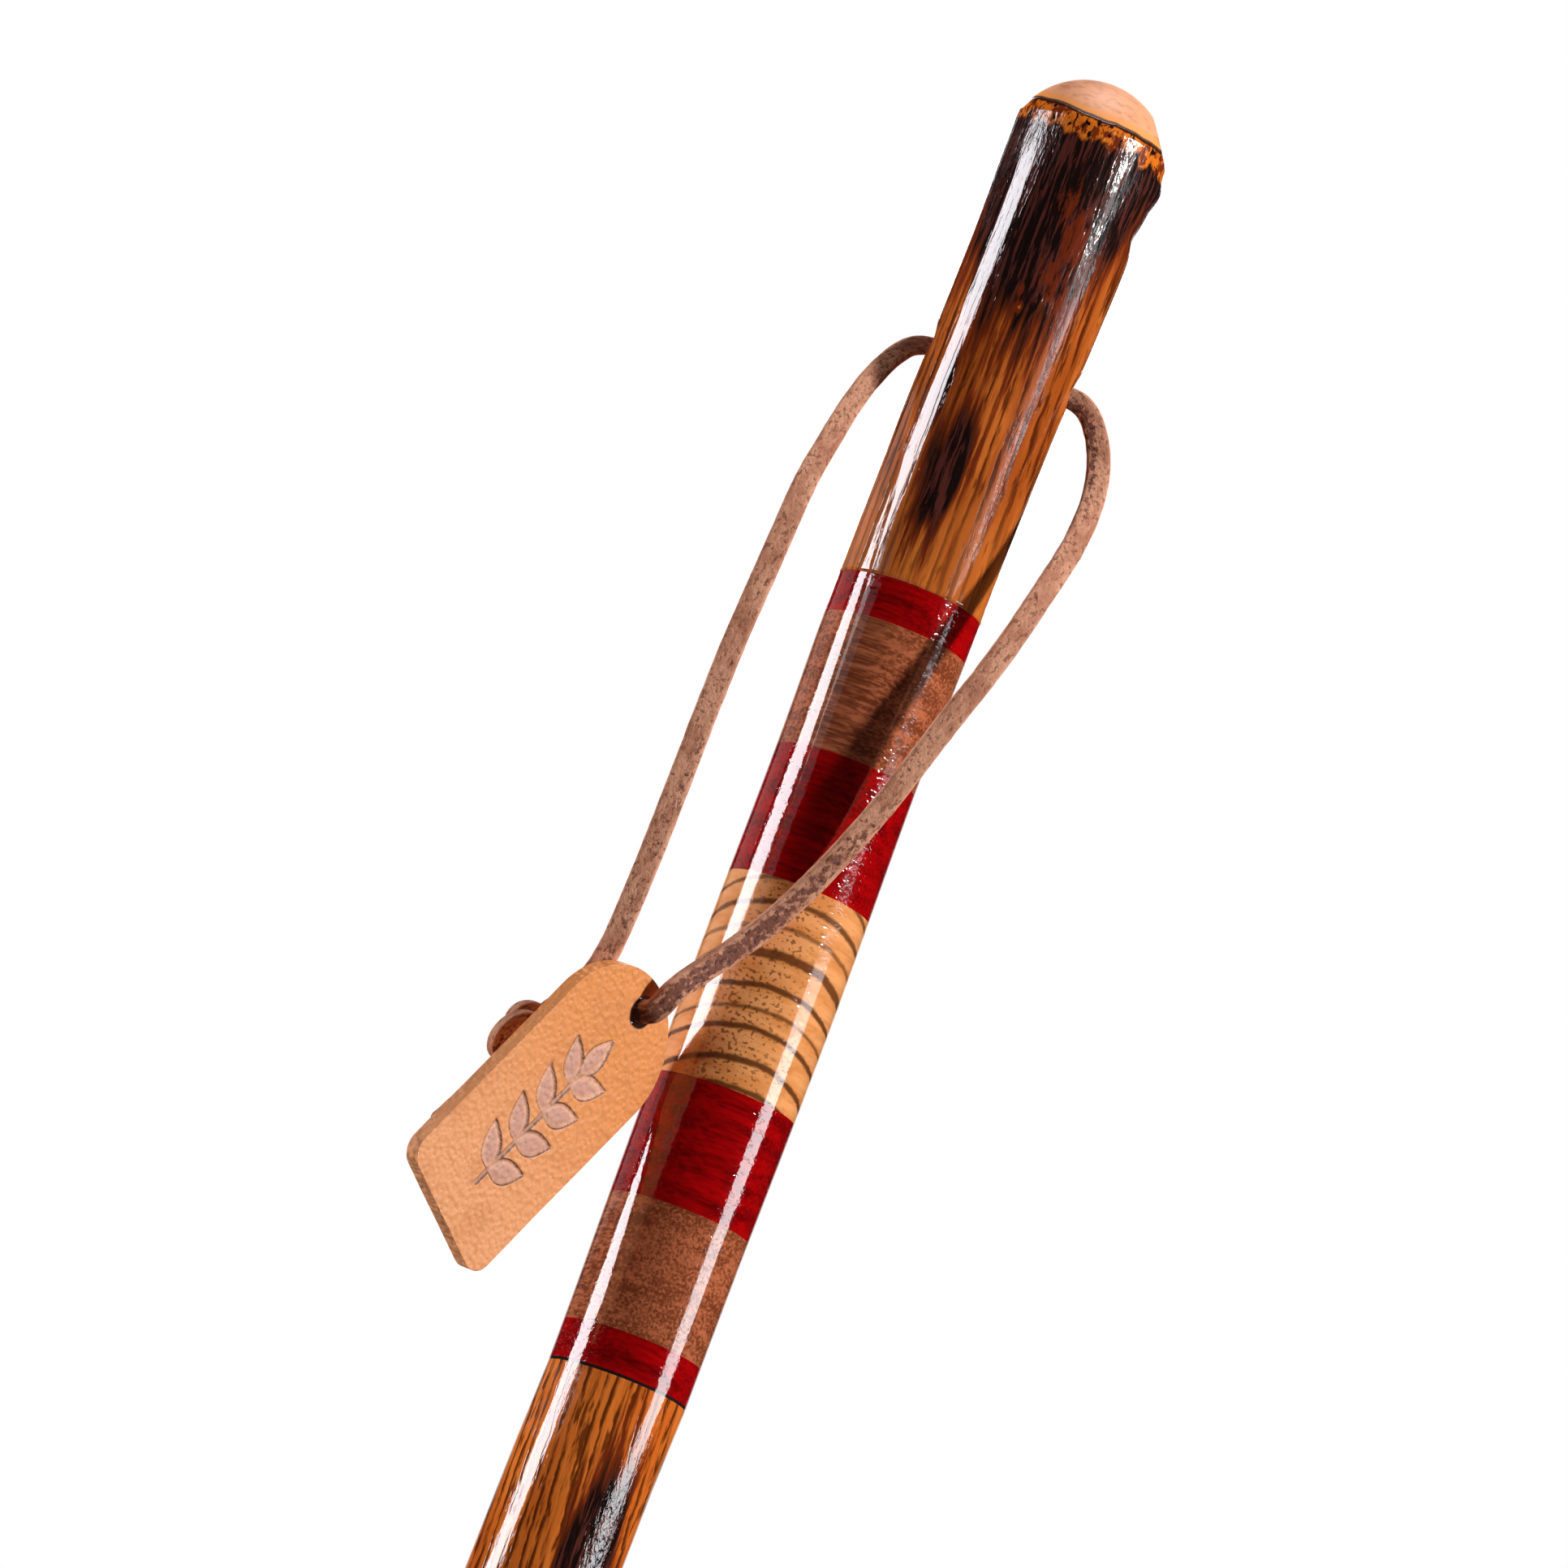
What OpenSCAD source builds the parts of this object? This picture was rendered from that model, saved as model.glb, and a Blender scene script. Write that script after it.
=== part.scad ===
// Hiking staff: scorched oak head, banded hardwood grip, oak shaft, rubber tip and leather wrist lanyard.
// Origin at the middle of the tip's tread, +Z up the staff. The lanyard hole runs along X, -Y is the front.

/* [Staff] */
// Overall length, from the tread of the rubber tip to the top of the dome
staff_length = 1397; // [1200:1:1500]
// Diameter of the shaft where it swells below the grip
shaft_swell_d = 28.2; // [26:0.1:32]
// Distance from the lower grip joint down to that swell
shaft_swell_drop = 120; // [60:5:300]
// Diameter of the shaft just above the rubber tip
shaft_foot_d = 24; // [22:0.1:27]

/* [Head] */
// Height of the head, from its joint to the top of the dome
head_h = 108.6; // [90:0.1:140]
// Diameter of the head below the dome
head_top_d = 30.9; // [28:0.1:36]
// Height of the rounded dome
dome_h = 10.4; // [6:0.1:13]
// Width of the softened edge where the dome meets the side
dome_edge = 0.8; // [0.3:0.1:1.5]
// Distance from the top of the dome down to the lanyard hole
lanyard_hole_drop = 59.5; // [45:0.5:70]
// Room round the lace in the lanyard hole
lanyard_hole_play = 1.7; // [1:0.05:2.5]
// Width of the chamfer at each mouth of the lanyard hole
lanyard_hole_chamfer = 0.8; // [0.3:0.1:1.5]

/* [Grip] */
// Diameter at the joint between the head and the grip
upper_joint_d = 28.9; // [26:0.1:32]
// Diameter at the waist between the upper walnut and red bands
waist_d = 28.2; // [25:0.1:31]
// Diameter at the middle of the zebrawood band
palm_d = 28.9; // [26:0.1:33]
// Diameter at the joint between the grip and the shaft
lower_joint_d = 27.7; // [26:0.1:32]
// Height of the thin red band at the top of the grip
top_red_h = 8.4; // [5:0.1:14]
// Height of the upper walnut band
upper_walnut_h = 27.3; // [18:0.1:40]
// Height of the upper red band
upper_red_h = 26.3; // [18:0.1:40]
// Height of the zebrawood band
zebrawood_h = 41.4; // [28:0.1:60]
// Height of the lower red band
lower_red_h = 24.5; // [18:0.1:40]
// Height of the lower walnut band
lower_walnut_h = 25.8; // [18:0.1:40]
// Height of the thin red band at the bottom of the grip
bottom_red_h = 7.8; // [5:0.1:14]
// Thickness of the black spacer between the grip and the shaft
spacer_h = 0.6; // [0.4:0.1:1.5]
// Diameter of the hidden dowel that holds the bands in line
dowel_d = 12.7; // [10:0.1:16]
// Depth of the dowel in the head and in the shaft
dowel_depth = 36; // [25:1:42]
// Glue gap round the dowel
glue_gap = 0.05; // [0.02:0.01:0.15]

/* [Rubber tip] */
// Height of the rubber tip
tip_h = 44; // [36:1:60]
// Diameter of the tip's tread
tip_tread_d = 34; // [32:0.5:40]
// Wall of the tip round the shaft
tip_wall = 3.4; // [2.5:0.1:4.5]
// Rubber under the washer
tip_floor = 10; // [7:0.5:14]
// Diameter of the shaft's turned end inside the tip
spigot_d = 22; // [18:0.1:23]
// Gap round the turned end of the shaft
tip_fit = 0.05; // [0.02:0.01:0.2]
// Thickness of the steel washer under the shaft
washer_h = 1.5; // [1:0.1:3]
// Hole in the washer
washer_hole_d = 8; // [5:0.5:12]
// Depth of the ring grooves in the tread
tread_depth = 1.5; // [0.5:0.1:3]
// Width of the ring grooves in the tread
tread_groove_w = 2; // [1:0.1:2.5]

/* [Lanyard] */
// Width of the leather lace
lace_w = 4.6; // [4:0.1:5.5]
// Thickness of the leather lace
lace_t = 3.2; // [2.4:0.1:3.6]
// Bevel on the corners of the lace
lace_bevel = 0.5; // [0.2:0.1:0.9]

/* [Tag] */
// Length of the leather tag
tag_l = 64; // [45:0.5:80]
// Width of the leather tag
tag_w = 34; // [26:0.5:36]
// Thickness of the leather tag
tag_t = 3; // [2:0.1:3.5]
// Distance from the top of the tag to its hole
tag_hole_inset = 5.8; // [5:0.1:9]
// Room round the lace in the tag's hole
tag_hole_play = 1.3; // [1.2:0.05:1.6]
// Radius of the tag's lower corners
tag_corner_r = 4; // [2:0.5:8]

/* [Hidden] */
$fn = 96;
eps = 0.01;

// Heights of the joints, from the top down
head_z = staff_length - head_h;
top_red_z = head_z - top_red_h;
upper_walnut_z = top_red_z - upper_walnut_h;
upper_red_z = upper_walnut_z - upper_red_h;
zebrawood_z = upper_red_z - zebrawood_h;
lower_red_z = zebrawood_z - lower_red_h;
lower_walnut_z = lower_red_z - lower_walnut_h;
bottom_red_z = lower_walnut_z - bottom_red_h;
shaft_z = bottom_red_z - spacer_h;
hole_z = staff_length - lanyard_hole_drop;
spigot_z = tip_floor + washer_h;

dowel_bore_d = dowel_d + 2 * glue_gap;
dowel_end_gap = 0.5;
lanyard_hole_d = lace_w + 2 * lanyard_hole_play;
tag_hole_d = lace_w + 2 * tag_hole_play;

// Colours of the materials
oak = [0.62, 0.33, 0.11];
redheart = [0.50, 0.03, 0.05];
walnut = [0.36, 0.21, 0.13];
zebrawood = [0.85, 0.62, 0.36];
black_fibre = [0.06, 0.05, 0.05];
maple = [0.82, 0.68, 0.48];
rubber = [0.07, 0.07, 0.07];
steel = [0.70, 0.71, 0.72];
lace_brown = [0.52, 0.34, 0.26];
tag_tan = [0.82, 0.55, 0.33];

// Smooth step from a to b as u goes from 0 to 1
function ease(a, b, u) = a + (b - a) * (1 - cos(180 * u)) / 2;
function share(z, low, high) = (z - low) / (high - low);
// Evenly spaced heights from z0 to z1
function heights(z0, z1, steps) = [for (i = [0 : steps]) z0 + (z1 - z0) * i / steps];

// Outside diameter of each turned stretch at a height
palm_z = zebrawood_z + zebrawood_h / 2;
function grip_d(z) =
    z < palm_z ? ease(lower_joint_d, palm_d, share(z, bottom_red_z, palm_z)) :
    z < upper_walnut_z ? ease(palm_d, waist_d, share(z, palm_z, upper_walnut_z)) :
    ease(waist_d, upper_joint_d, share(z, upper_walnut_z, head_z));

head_flare_power = 1.7;
dome_z = staff_length - dome_h;
function head_d(z) =
    upper_joint_d + (head_top_d - upper_joint_d) * pow(share(z, head_z, dome_z), head_flare_power);

swell_z = shaft_z - shaft_swell_drop;
function shaft_d(z) =
    z > swell_z ? ease(shaft_swell_d, lower_joint_d, share(z, swell_z, shaft_z)) :
    shaft_foot_d + (shaft_swell_d - shaft_foot_d) * sin(90 * share(z, tip_h, swell_z));

// A turned solid from a list of [radius, height] points, lowest first
module turned(profile) {
    last = len(profile) - 1;
    axis_points = [[0, profile[last][1]], [0, profile[0][1]]];
    rotate_extrude()
        polygon(concat(profile, axis_points));
}

// A hole for the core dowel between two heights
module dowel_bore(z0, z1) {
    translate([0, 0, z0])
        cylinder(h = z1 - z0, d = dowel_bore_d);
}

// One slice of the grip, bored for the dowel
band_steps = 6;
module grip_band(z0, h) {
    profile = [for (z = heights(z0, z0 + h, band_steps)) [grip_d(z) / 2, z]];
    difference() {
        turned(profile);
        dowel_bore(z0 - eps, z0 + h + eps);
    }
}

head_steps = 16;
dome_steps = 12;
module head() {
    edge_z = dome_z - dome_edge;
    flank = [for (z = heights(head_z, edge_z, head_steps)) [head_d(z) / 2, z]];
    cap_r = head_top_d / 2 - dome_edge / 2;
    dome_r = (pow(cap_r, 2) + pow(dome_h, 2)) / (2 * dome_h);
    low = asin(1 - dome_h / dome_r);
    dome = [for (i = [0 : dome_steps - 1])
        let (a = low + (90 - low) * i / dome_steps)
        dome_r * [cos(a), sin(a)] + [0, staff_length - dome_r]];
    mouth_r = head_d(hole_z) / 2;
    chamfer_d = lanyard_hole_d + 2 * lanyard_hole_chamfer;
    color(oak)
    difference() {
        turned(concat(flank, dome, [[0, staff_length]]));
        dowel_bore(head_z - eps, head_z + dowel_depth + dowel_end_gap);
        translate([0, 0, hole_z])
            rotate([0, 90, 0]) {
                cylinder(h = 2 * head_top_d, d = lanyard_hole_d, center = true);
                for (side = [0, 1])
                    mirror([0, 0, side])
                        translate([0, 0, mouth_r - lanyard_hole_chamfer])
                            cylinder(h = 3 * lanyard_hole_chamfer, d1 = lanyard_hole_d,
                                     d2 = lanyard_hole_d + 3 * (chamfer_d - lanyard_hole_d));
            }
    }
}

module top_red_band() {
    color(redheart)
        grip_band(top_red_z, top_red_h);
}

module upper_walnut_band() {
    color(walnut)
        grip_band(upper_walnut_z, upper_walnut_h);
}

module upper_red_band() {
    color(redheart)
        grip_band(upper_red_z, upper_red_h);
}

module zebrawood_band() {
    color(zebrawood)
        grip_band(zebrawood_z, zebrawood_h);
}

module lower_red_band() {
    color(redheart)
        grip_band(lower_red_z, lower_red_h);
}

module lower_walnut_band() {
    color(walnut)
        grip_band(lower_walnut_z, lower_walnut_h);
}

module bottom_red_band() {
    color(redheart)
        grip_band(bottom_red_z, bottom_red_h);
}

module shaft_spacer() {
    color(black_fibre)
    difference() {
        translate([0, 0, shaft_z])
            cylinder(h = spacer_h, d = lower_joint_d);
        dowel_bore(shaft_z - eps, shaft_z + spacer_h + eps);
    }
}

module core_dowel() {
    color(maple)
        translate([0, 0, shaft_z - dowel_depth])
            cylinder(h = head_z - shaft_z + 2 * dowel_depth, d = dowel_d);
}

// The shaft swells under the grip, tapers to its foot and ends in a turned spigot
swell_steps = 8;
taper_steps = 16;
lip_gap = 0.3;
module shaft() {
    foot_z = tip_h + lip_gap;
    spigot = [[spigot_d / 2, spigot_z], [spigot_d / 2, foot_z]];
    taper = [for (z = heights(foot_z, swell_z, taper_steps)) [shaft_d(z) / 2, z]];
    swell = [for (z = heights(swell_z, shaft_z, swell_steps)) if (z > swell_z) [shaft_d(z) / 2, z]];
    color(oak)
    difference() {
        turned(concat(spigot, taper, swell));
        dowel_bore(shaft_z - dowel_depth - dowel_end_gap, shaft_z + eps);
    }
}

// The tip flares to its tread, with ring grooves under it and ribs round its neck
tip_edge = 2;
tip_rim_h = 7;
tip_flare_h = 13;
tip_flare_steps = 8;
rib_count = 3;
rib_r = 1.1;
rib_pitch = 5;
module rubber_tip() {
    neck_r = spigot_d / 2 + tip_fit + tip_wall;
    tread_r = tip_tread_d / 2;
    flare = [for (i = [0 : tip_flare_steps])
        let (u = i / tip_flare_steps)
        [ease(tread_r, neck_r, u), tip_rim_h + tip_flare_h * u]];
    foot = [[tread_r - tip_edge, 0], [tread_r, tip_edge]];
    lip = [[neck_r, tip_h - tip_edge / 2], [neck_r - tip_edge / 2, tip_h]];
    groove_pitch = (tread_r - tip_edge) / 3;
    color(rubber)
    difference() {
        union() {
            turned(concat(foot, flare, lip));
            for (i = [1 : rib_count])
                translate([0, 0, tip_h - tip_edge - i * rib_pitch])
                    rotate_extrude()
                        translate([neck_r, 0])
                            circle(r = rib_r, $fn = 32);
        }
        translate([0, 0, tip_floor])
            cylinder(h = tip_h, d = spigot_d + 2 * tip_fit);
        for (i = [1, 2])
            translate([0, 0, -eps])
                difference() {
                    cylinder(h = tread_depth + eps, r = i * groove_pitch + tread_groove_w / 2);
                    translate([0, 0, -eps])
                        cylinder(h = tread_depth + 3 * eps, r = i * groove_pitch - tread_groove_w / 2);
                }
    }
}

module tip_washer() {
    color(steel)
        translate([0, 0, tip_floor])
            difference() {
                cylinder(h = washer_h, d = spigot_d);
                translate([0, 0, -eps])
                    cylinder(h = washer_h + 2 * eps, d = washer_hole_d);
            }
}

// Turns and place of the tag, whose own frame has its hole at the origin, X across, Y to its back and Z up
tag_turn = [6.6, 26, 51.5];
tag_hole_at = [-21, -18.5, -145.6];
function turn_x(p, a) = [p.x, p.y * cos(a) - p.z * sin(a), p.y * sin(a) + p.z * cos(a)];
function turn_y(p, a) = [p.x * cos(a) + p.z * sin(a), p.y, p.z * cos(a) - p.x * sin(a)];
function turn_z(p, a) = [p.x * cos(a) - p.y * sin(a), p.x * sin(a) + p.y * cos(a), p.z];
function tag_dir(p) = turn_z(turn_y(turn_x(p, tag_turn.x), tag_turn.y), tag_turn.z);
function on_tag(p) = tag_hole_at + tag_dir(p);

// Middle of the knot behind the tag, in the tag's frame
knot_at = [-9, tag_t / 2 + 5.6, -21];

// Routes of the two strands from the middle of the lanyard hole, the last points in the tag's frame
left_route = concat([
    [0, 0, 0], [-5, 0, 0.2], [-10, 0, 0.3], [-14, 0, -0.2], [-17.3, -0.3, -2.2], [-20, -1.2, -5.8],
    [-22.7, -3.2, -12.3], [-24.6, -6, -20], [-26, -9.5, -28.8], [-27.2, -12.8, -37.7], [-27.7, -15.2, -48.1],
    [-28.2, -17, -59.2], [-28.8, -18.5, -72.3], [-29, -19.7, -86.2], [-29, -20.5, -99], [-29, -21.2, -111.6],
    [-29.2, -21.5, -124.3], [-29.7, -21.3, -135], [-30.8, -20.2, -141.4]
], [for (p = [[-6, 9, -6], [-8, 8.4, -13.5], [-9, 7.1, -21], [-9.3, 6.3, -29], [-9.8, 5.8, -37.5],
        [-10.8, 5.2, -46]])
    on_tag(p)]);
right_route = concat([
    [0, 0, 0], [5, 0, 0.3], [10, 0, 0.5], [14, 0, 0.2], [18, -0.5, -2], [21.5, -1.5, -6], [24, -3, -11.5],
    [25.2, -5, -17], [25.5, -7, -23], [25, -10, -30], [23.7, -12, -37], [22, -14.5, -45], [20, -16.5, -54],
    [17.5, -17.5, -63], [14.8, -17.8, -71.5], [10.8, -17.3, -85], [7.5, -17.1, -95.3], [3.2, -17, -106.5],
    [-1.8, -17.3, -117.5], [-6.2, -18.3, -125.5], [-11, -20.1, -132.8], [-15, -21.8, -138.9]
], [for (p = [[-0.4, -4, 1.4], [0, 0, 0], [0.2, 3.8, -1], [-0.8, 6, -5.5], [-3, 7.2, -12], [-4.6, 7.2, -18.5],
        [-4.8, 6.5, -26], [-3.5, 6, -34], [-2.5, 6, -41]])
    on_tag(p)]);

// Which way the lace's thin side faces, at the start and at the end of each strand
left_facing = [[0, 1, 0], [0, 1, 0]];
right_facing = [[0, 1, 0], [-0.1, 0.6, 0.8]];

// Cross-section of the lace: a flat strip with bevelled corners, [across, through]
lace_section = let (w = lace_w / 2, t = lace_t / 2, b = lace_bevel)
    [[w, t - b], [w - b, t], [b - w, t], [-w, t - b], [-w, b - t], [b - w, -t], [w - b, -t], [w, b - t]];

function unit(v) = v / norm(v);
function heading(p, i) = unit(p[min(i + 1, len(p) - 1)] - p[max(i - 1, 0)]);
function square_to(v, t) = unit(v - (v * t) * t);

// One ring of points round the route at step i, for a strip that faces the way given
function strip_ring(p, i, facing, section) =
    let (t = heading(p, i), through = square_to(facing, t), across = cross(t, through))
    [for (c = section) p[i] + c.x * across + c.y * through];

// Faces of a tube of rings: its sides in triangles, and its two ends
function tube_sides(rings, sides, closed) =
    [for (i = [0 : rings - (closed ? 1 : 2)], j = [0 : sides - 1], half = [0, 1])
        let (a = i * sides, b = ((i + 1) % rings) * sides, k = (j + 1) % sides)
        half == 0 ? [a + j, b + k, a + k] : [a + j, b + j, b + k]];
function tube_ends(rings, sides) =
    [[for (j = [0 : sides - 1]) j], [for (j = [0 : sides - 1]) rings * sides - 1 - j]];

module strand(route, facing) {
    n = len(route);
    rings = [for (i = [0 : n - 1])
        strip_ring(route, i, facing[0] + (facing[1] - facing[0]) * i / (n - 1), lace_section)];
    sides = len(lace_section);
    color(lace_brown)
        translate([0, 0, hole_z])
            polyhedron([for (ring = rings) each ring],
                       concat(tube_sides(n, sides, false), tube_ends(n, sides)), convexity = 10);
}

module lanyard_left_strand() {
    strand(left_route, left_facing);
}

module lanyard_right_strand() {
    strand(right_route, right_facing);
}

// The knot's bight winds twice round its middle and three times through itself
knot_ring_r = 4;
knot_swing_r = 2;
knot_rise = 2.1;
knot_tube_r = 1.75;
knot_rings = 48;
knot_sides = 8;
knot_start_angle = -30;
function knot_point(a) =
    let (r = knot_ring_r + knot_swing_r * cos(3 * a))
    knot_at + [r * cos(2 * a + knot_start_angle), knot_rise * sin(3 * a), r * sin(2 * a + knot_start_angle)];
function knot_ring(a) =
    let (p = knot_point(a), t = unit(knot_point(a + 1) - knot_point(a - 1)),
         n = square_to([0, 1, 0], t), b = cross(t, n))
    [for (j = [0 : knot_sides - 1])
        let (c = 360 * (j + 0.5) / knot_sides)
        on_tag(p + knot_tube_r * (cos(c) * b + sin(c) * n))];
module lanyard_knot() {
    points = [for (i = [0 : knot_rings - 1]) each knot_ring(360 * i / knot_rings)];
    color(lace_brown)
        translate([0, 0, hole_z])
            polyhedron(points, tube_sides(knot_rings, knot_sides, true), convexity = 10);
}

// A strip of leather with a fully rounded top end, rounded lower corners and a hole for the lace
module tag_outline() {
    top_r = tag_w / 2;
    foot_y = tag_hole_inset - tag_l;
    corner_y = foot_y + tag_corner_r;
    translate([0, tag_hole_inset - top_r])
        circle(r = top_r);
    translate([-top_r, corner_y])
        square([tag_w, tag_hole_inset - top_r - corner_y]);
    translate([tag_corner_r - top_r, foot_y])
        square([tag_w - 2 * tag_corner_r, 2 * tag_corner_r]);
    for (side = [-1, 1])
        translate([side * (top_r - tag_corner_r), corner_y])
            circle(r = tag_corner_r);
}

module leather_tag() {
    color(tag_tan)
    translate([0, 0, hole_z] + tag_hole_at)
        rotate(tag_turn)
            rotate([90, 0, 0])
                difference() {
                    linear_extrude(height = tag_t, center = true)
                        tag_outline();
                    cylinder(h = 3 * tag_t, d = tag_hole_d, center = true);
                }
}

head();
top_red_band();
upper_walnut_band();
upper_red_band();
zebrawood_band();
lower_red_band();
lower_walnut_band();
bottom_red_band();
shaft_spacer();
shaft();
core_dowel();
rubber_tip();
tip_washer();
lanyard_left_strand();
lanyard_right_strand();
lanyard_knot();
leather_tag();
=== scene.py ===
import math

import bmesh
import bpy
from mathutils import Matrix, Vector, noise


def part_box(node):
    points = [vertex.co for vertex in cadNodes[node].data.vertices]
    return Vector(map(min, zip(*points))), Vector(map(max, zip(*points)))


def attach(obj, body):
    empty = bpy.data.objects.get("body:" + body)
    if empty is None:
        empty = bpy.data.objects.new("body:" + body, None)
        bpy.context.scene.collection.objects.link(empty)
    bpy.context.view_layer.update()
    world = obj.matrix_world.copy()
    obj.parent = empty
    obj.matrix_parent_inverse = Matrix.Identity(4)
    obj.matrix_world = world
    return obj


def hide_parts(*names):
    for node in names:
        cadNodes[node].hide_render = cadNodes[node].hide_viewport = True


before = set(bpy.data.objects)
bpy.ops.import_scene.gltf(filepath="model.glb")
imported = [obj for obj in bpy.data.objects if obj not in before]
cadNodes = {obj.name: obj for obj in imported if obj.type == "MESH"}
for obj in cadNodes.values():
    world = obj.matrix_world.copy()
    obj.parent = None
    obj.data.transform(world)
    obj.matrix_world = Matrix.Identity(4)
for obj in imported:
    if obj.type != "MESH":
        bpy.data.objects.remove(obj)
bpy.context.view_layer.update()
mm = 0.001
print("frame loaded:", len(cadNodes), "nodes")


# Helpers for objects and materials

def addObject(name, data):
    made = bpy.data.objects.new(name, data)
    bpy.context.scene.collection.objects.link(made)
    return made


def addMesh(name, bm):
    mesh = bpy.data.meshes.new(name)
    bm.to_mesh(mesh)
    bm.free()
    return addObject(name, mesh)


def startMaterial(name):
    made = bpy.data.materials.new(name)
    made.use_nodes = True
    return made, made.node_tree, made.node_tree.nodes["Principled BSDF"]


# Camera at the photograph's viewing angle

photoView = {
    "target": Vector((-10.3, 0, 1246.1)) * mm,
    "distance": 2400 * mm,
    "elevation": 10.5,  # degrees, looking up
    "roll": 21,
    "lens": 288.447,
    "sensor": 36,
}


def addCamera(look):
    lens = bpy.data.cameras.new("photoCamera")
    lens.lens = look["lens"]
    lens.sensor_width = look["sensor"]
    camera = addObject("photoCamera", lens)
    tilt = Matrix.Rotation(math.radians(90 + look["elevation"]), 4, "X")
    roll = Matrix.Rotation(math.radians(look["roll"]), 4, "Z")
    place = look["target"] + tilt @ Vector((0, 0, look["distance"]))
    camera.matrix_world = Matrix.Translation(place) @ tilt @ roll
    bpy.context.scene.camera = camera


addCamera(photoView)
bpy.context.scene.view_settings.view_transform = "Standard"


# Lamps, world and floor

lampUsual = {"distance": 1.6, "tilt": 0, "spread": 180, "mirrored": True}
studioLamps = {  # degrees from the front, positive to the right, and degrees of tilt down; metres and watts
    "leftSoftbox": {"azimuth": -84, "z": 1.48, "width": 0.66, "height": 0.62, "watts": 14.5,
                    "color": (0.98, 0.95, 1.0)},
    "leftCardNear": {"azimuth": -68.5, "z": 1.49, "width": 0.25, "height": 0.24, "watts": 0.47,
                     "color": (1.0, 0.95, 0.98)},
    "leftCardFar": {"azimuth": -57, "z": 1.49, "width": 0.39, "height": 0.24, "watts": 0.10,
                    "color": (1.0, 0.97, 1.0)},
    "leftLow": {"azimuth": -102, "z": 0.35, "width": 0.5, "height": 0.4, "watts": 2.2, "tilt": -32,
                "spread": 64, "mirrored": False, "color": (1.0, 0.98, 0.96)},
    "rightKey": {"azimuth": 59, "z": 1.83, "width": 0.14, "height": 0.14, "watts": 32, "tilt": 20,
                 "color": (1.0, 0.98, 0.96)},
    "rightLowSoftbox": {"azimuth": 73, "z": 1.36, "width": 0.6, "height": 0.225, "watts": 3.4,
                        "color": (0.96, 0.97, 1.0)},
    "rightMidSoftbox": {"azimuth": 73, "z": 1.50, "width": 0.7, "height": 0.055, "watts": 0.45,
                        "color": (0.96, 0.97, 1.0)},
    "rightHighSoftbox": {"azimuth": 68, "z": 1.588, "width": 0.5, "height": 0.03, "watts": 0.17,
                         "color": (0.92, 0.95, 1.0)},
    "rightTopSoftbox": {"azimuth": 68, "z": 1.645, "width": 0.3, "height": 0.03, "watts": 0.16,
                        "color": (0.90, 0.93, 1.0)},
    "leftBackCard": {"azimuth": -124, "z": 1.53, "width": 1.2, "height": 0.34, "watts": 0.42,
                     "color": (1.0, 0.98, 0.98)},
    "leftBackCardHigh": {"azimuth": -124, "z": 1.64, "width": 1.2, "height": 0.10, "watts": 0.18,
                         "color": (1.0, 0.98, 0.98)},
    "overhead": {"azimuth": 0, "distance": 0.0, "z": 2.35, "width": 0.3, "height": 0.3, "watts": 5.6,
                 "tilt": 90, "color": (1.0, 0.99, 0.97)},
    "backFill": {"azimuth": 180, "distance": 2.5, "z": 2.4, "width": 1.2, "height": 1.2, "watts": 14,
                 "tilt": 10, "color": (1.0, 1.0, 1.0)},
}
studioWorld = {"fill": 0.008, "white": 1.0, "behindStart": 0.90, "behindEnd": 0.98}
studioFloor = {
    "reach": 9.0,
    "color": (0.82, 0.82, 0.82, 1),
    "bounce": (0.08, 0.08, 0.08, 1),
    "glow": {"near": 0.45, "far": 0.96},
    "blend": {"near": 0.5, "far": 2.6},  # metres from the staff, over which the floor fades into the white
}


def addLamp(name, look):
    lamp = bpy.data.lights.new(name, "AREA")
    lamp.shape = "RECTANGLE"
    lamp.size = look["width"]
    lamp.size_y = look["height"]
    lamp.energy = look["watts"]
    lamp.color = look["color"]
    lamp.spread = math.radians(look["spread"])
    holder = addObject(name, lamp)
    angle = math.radians(look["azimuth"])
    place = Vector((math.sin(angle), -math.cos(angle), 0)) * look["distance"]
    place.z = look["z"]
    aim = Matrix.Rotation(angle, 4, "Z") @ Matrix.Rotation(math.radians(90 - look["tilt"]), 4, "X")
    holder.matrix_world = Matrix.Translation(place) @ aim
    holder.visible_camera = False
    holder.visible_glossy = look["mirrored"]


def plug(tree, value, socket):  # joins a socket to a socket, or writes a plain value into it
    if isinstance(value, bpy.types.NodeSocket):
        tree.links.new(value, socket)
    else:
        socket.default_value = value


def addNode(tree, kind, values=None, **settings):
    made = tree.nodes.new("ShaderNode" + kind)
    for name, setting in settings.items():
        setattr(made, name, setting)
    for name, value in (values or {}).items():
        plug(tree, value, made.inputs[name])
    return made


def calc(tree, operation, *values):
    return addNode(tree, "Math", dict(enumerate(values)), operation=operation).outputs[0]


def vectorMath(tree, operation, *values):
    return addNode(tree, "VectorMath", dict(enumerate(values)), operation=operation).outputs


def fade(tree, value, start, end, low=0.0, high=1.0):  # smooth step from low to high
    values = {"Value": value, "From Min": start, "From Max": end, "To Min": low, "To Max": high}
    return addNode(tree, "MapRange", values, interpolation_type="SMOOTHSTEP").outputs[0]


def mixColors(tree, share, first, second):
    return addNode(tree, "Mix", {0: share, 6: first, 7: second}, data_type="RGBA").outputs[2]


def speckle(tree, at, scale, detail=2.0, roughness=0.5):  # noise from 0 to 1, scale in repeats a metre
    stretched = vectorMath(tree, "MULTIPLY", at, scale)[0]
    values = {"Vector": stretched, "Scale": 1.0, "Detail": detail, "Roughness": roughness}
    return addNode(tree, "TexNoise", values).outputs["Fac"]


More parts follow.
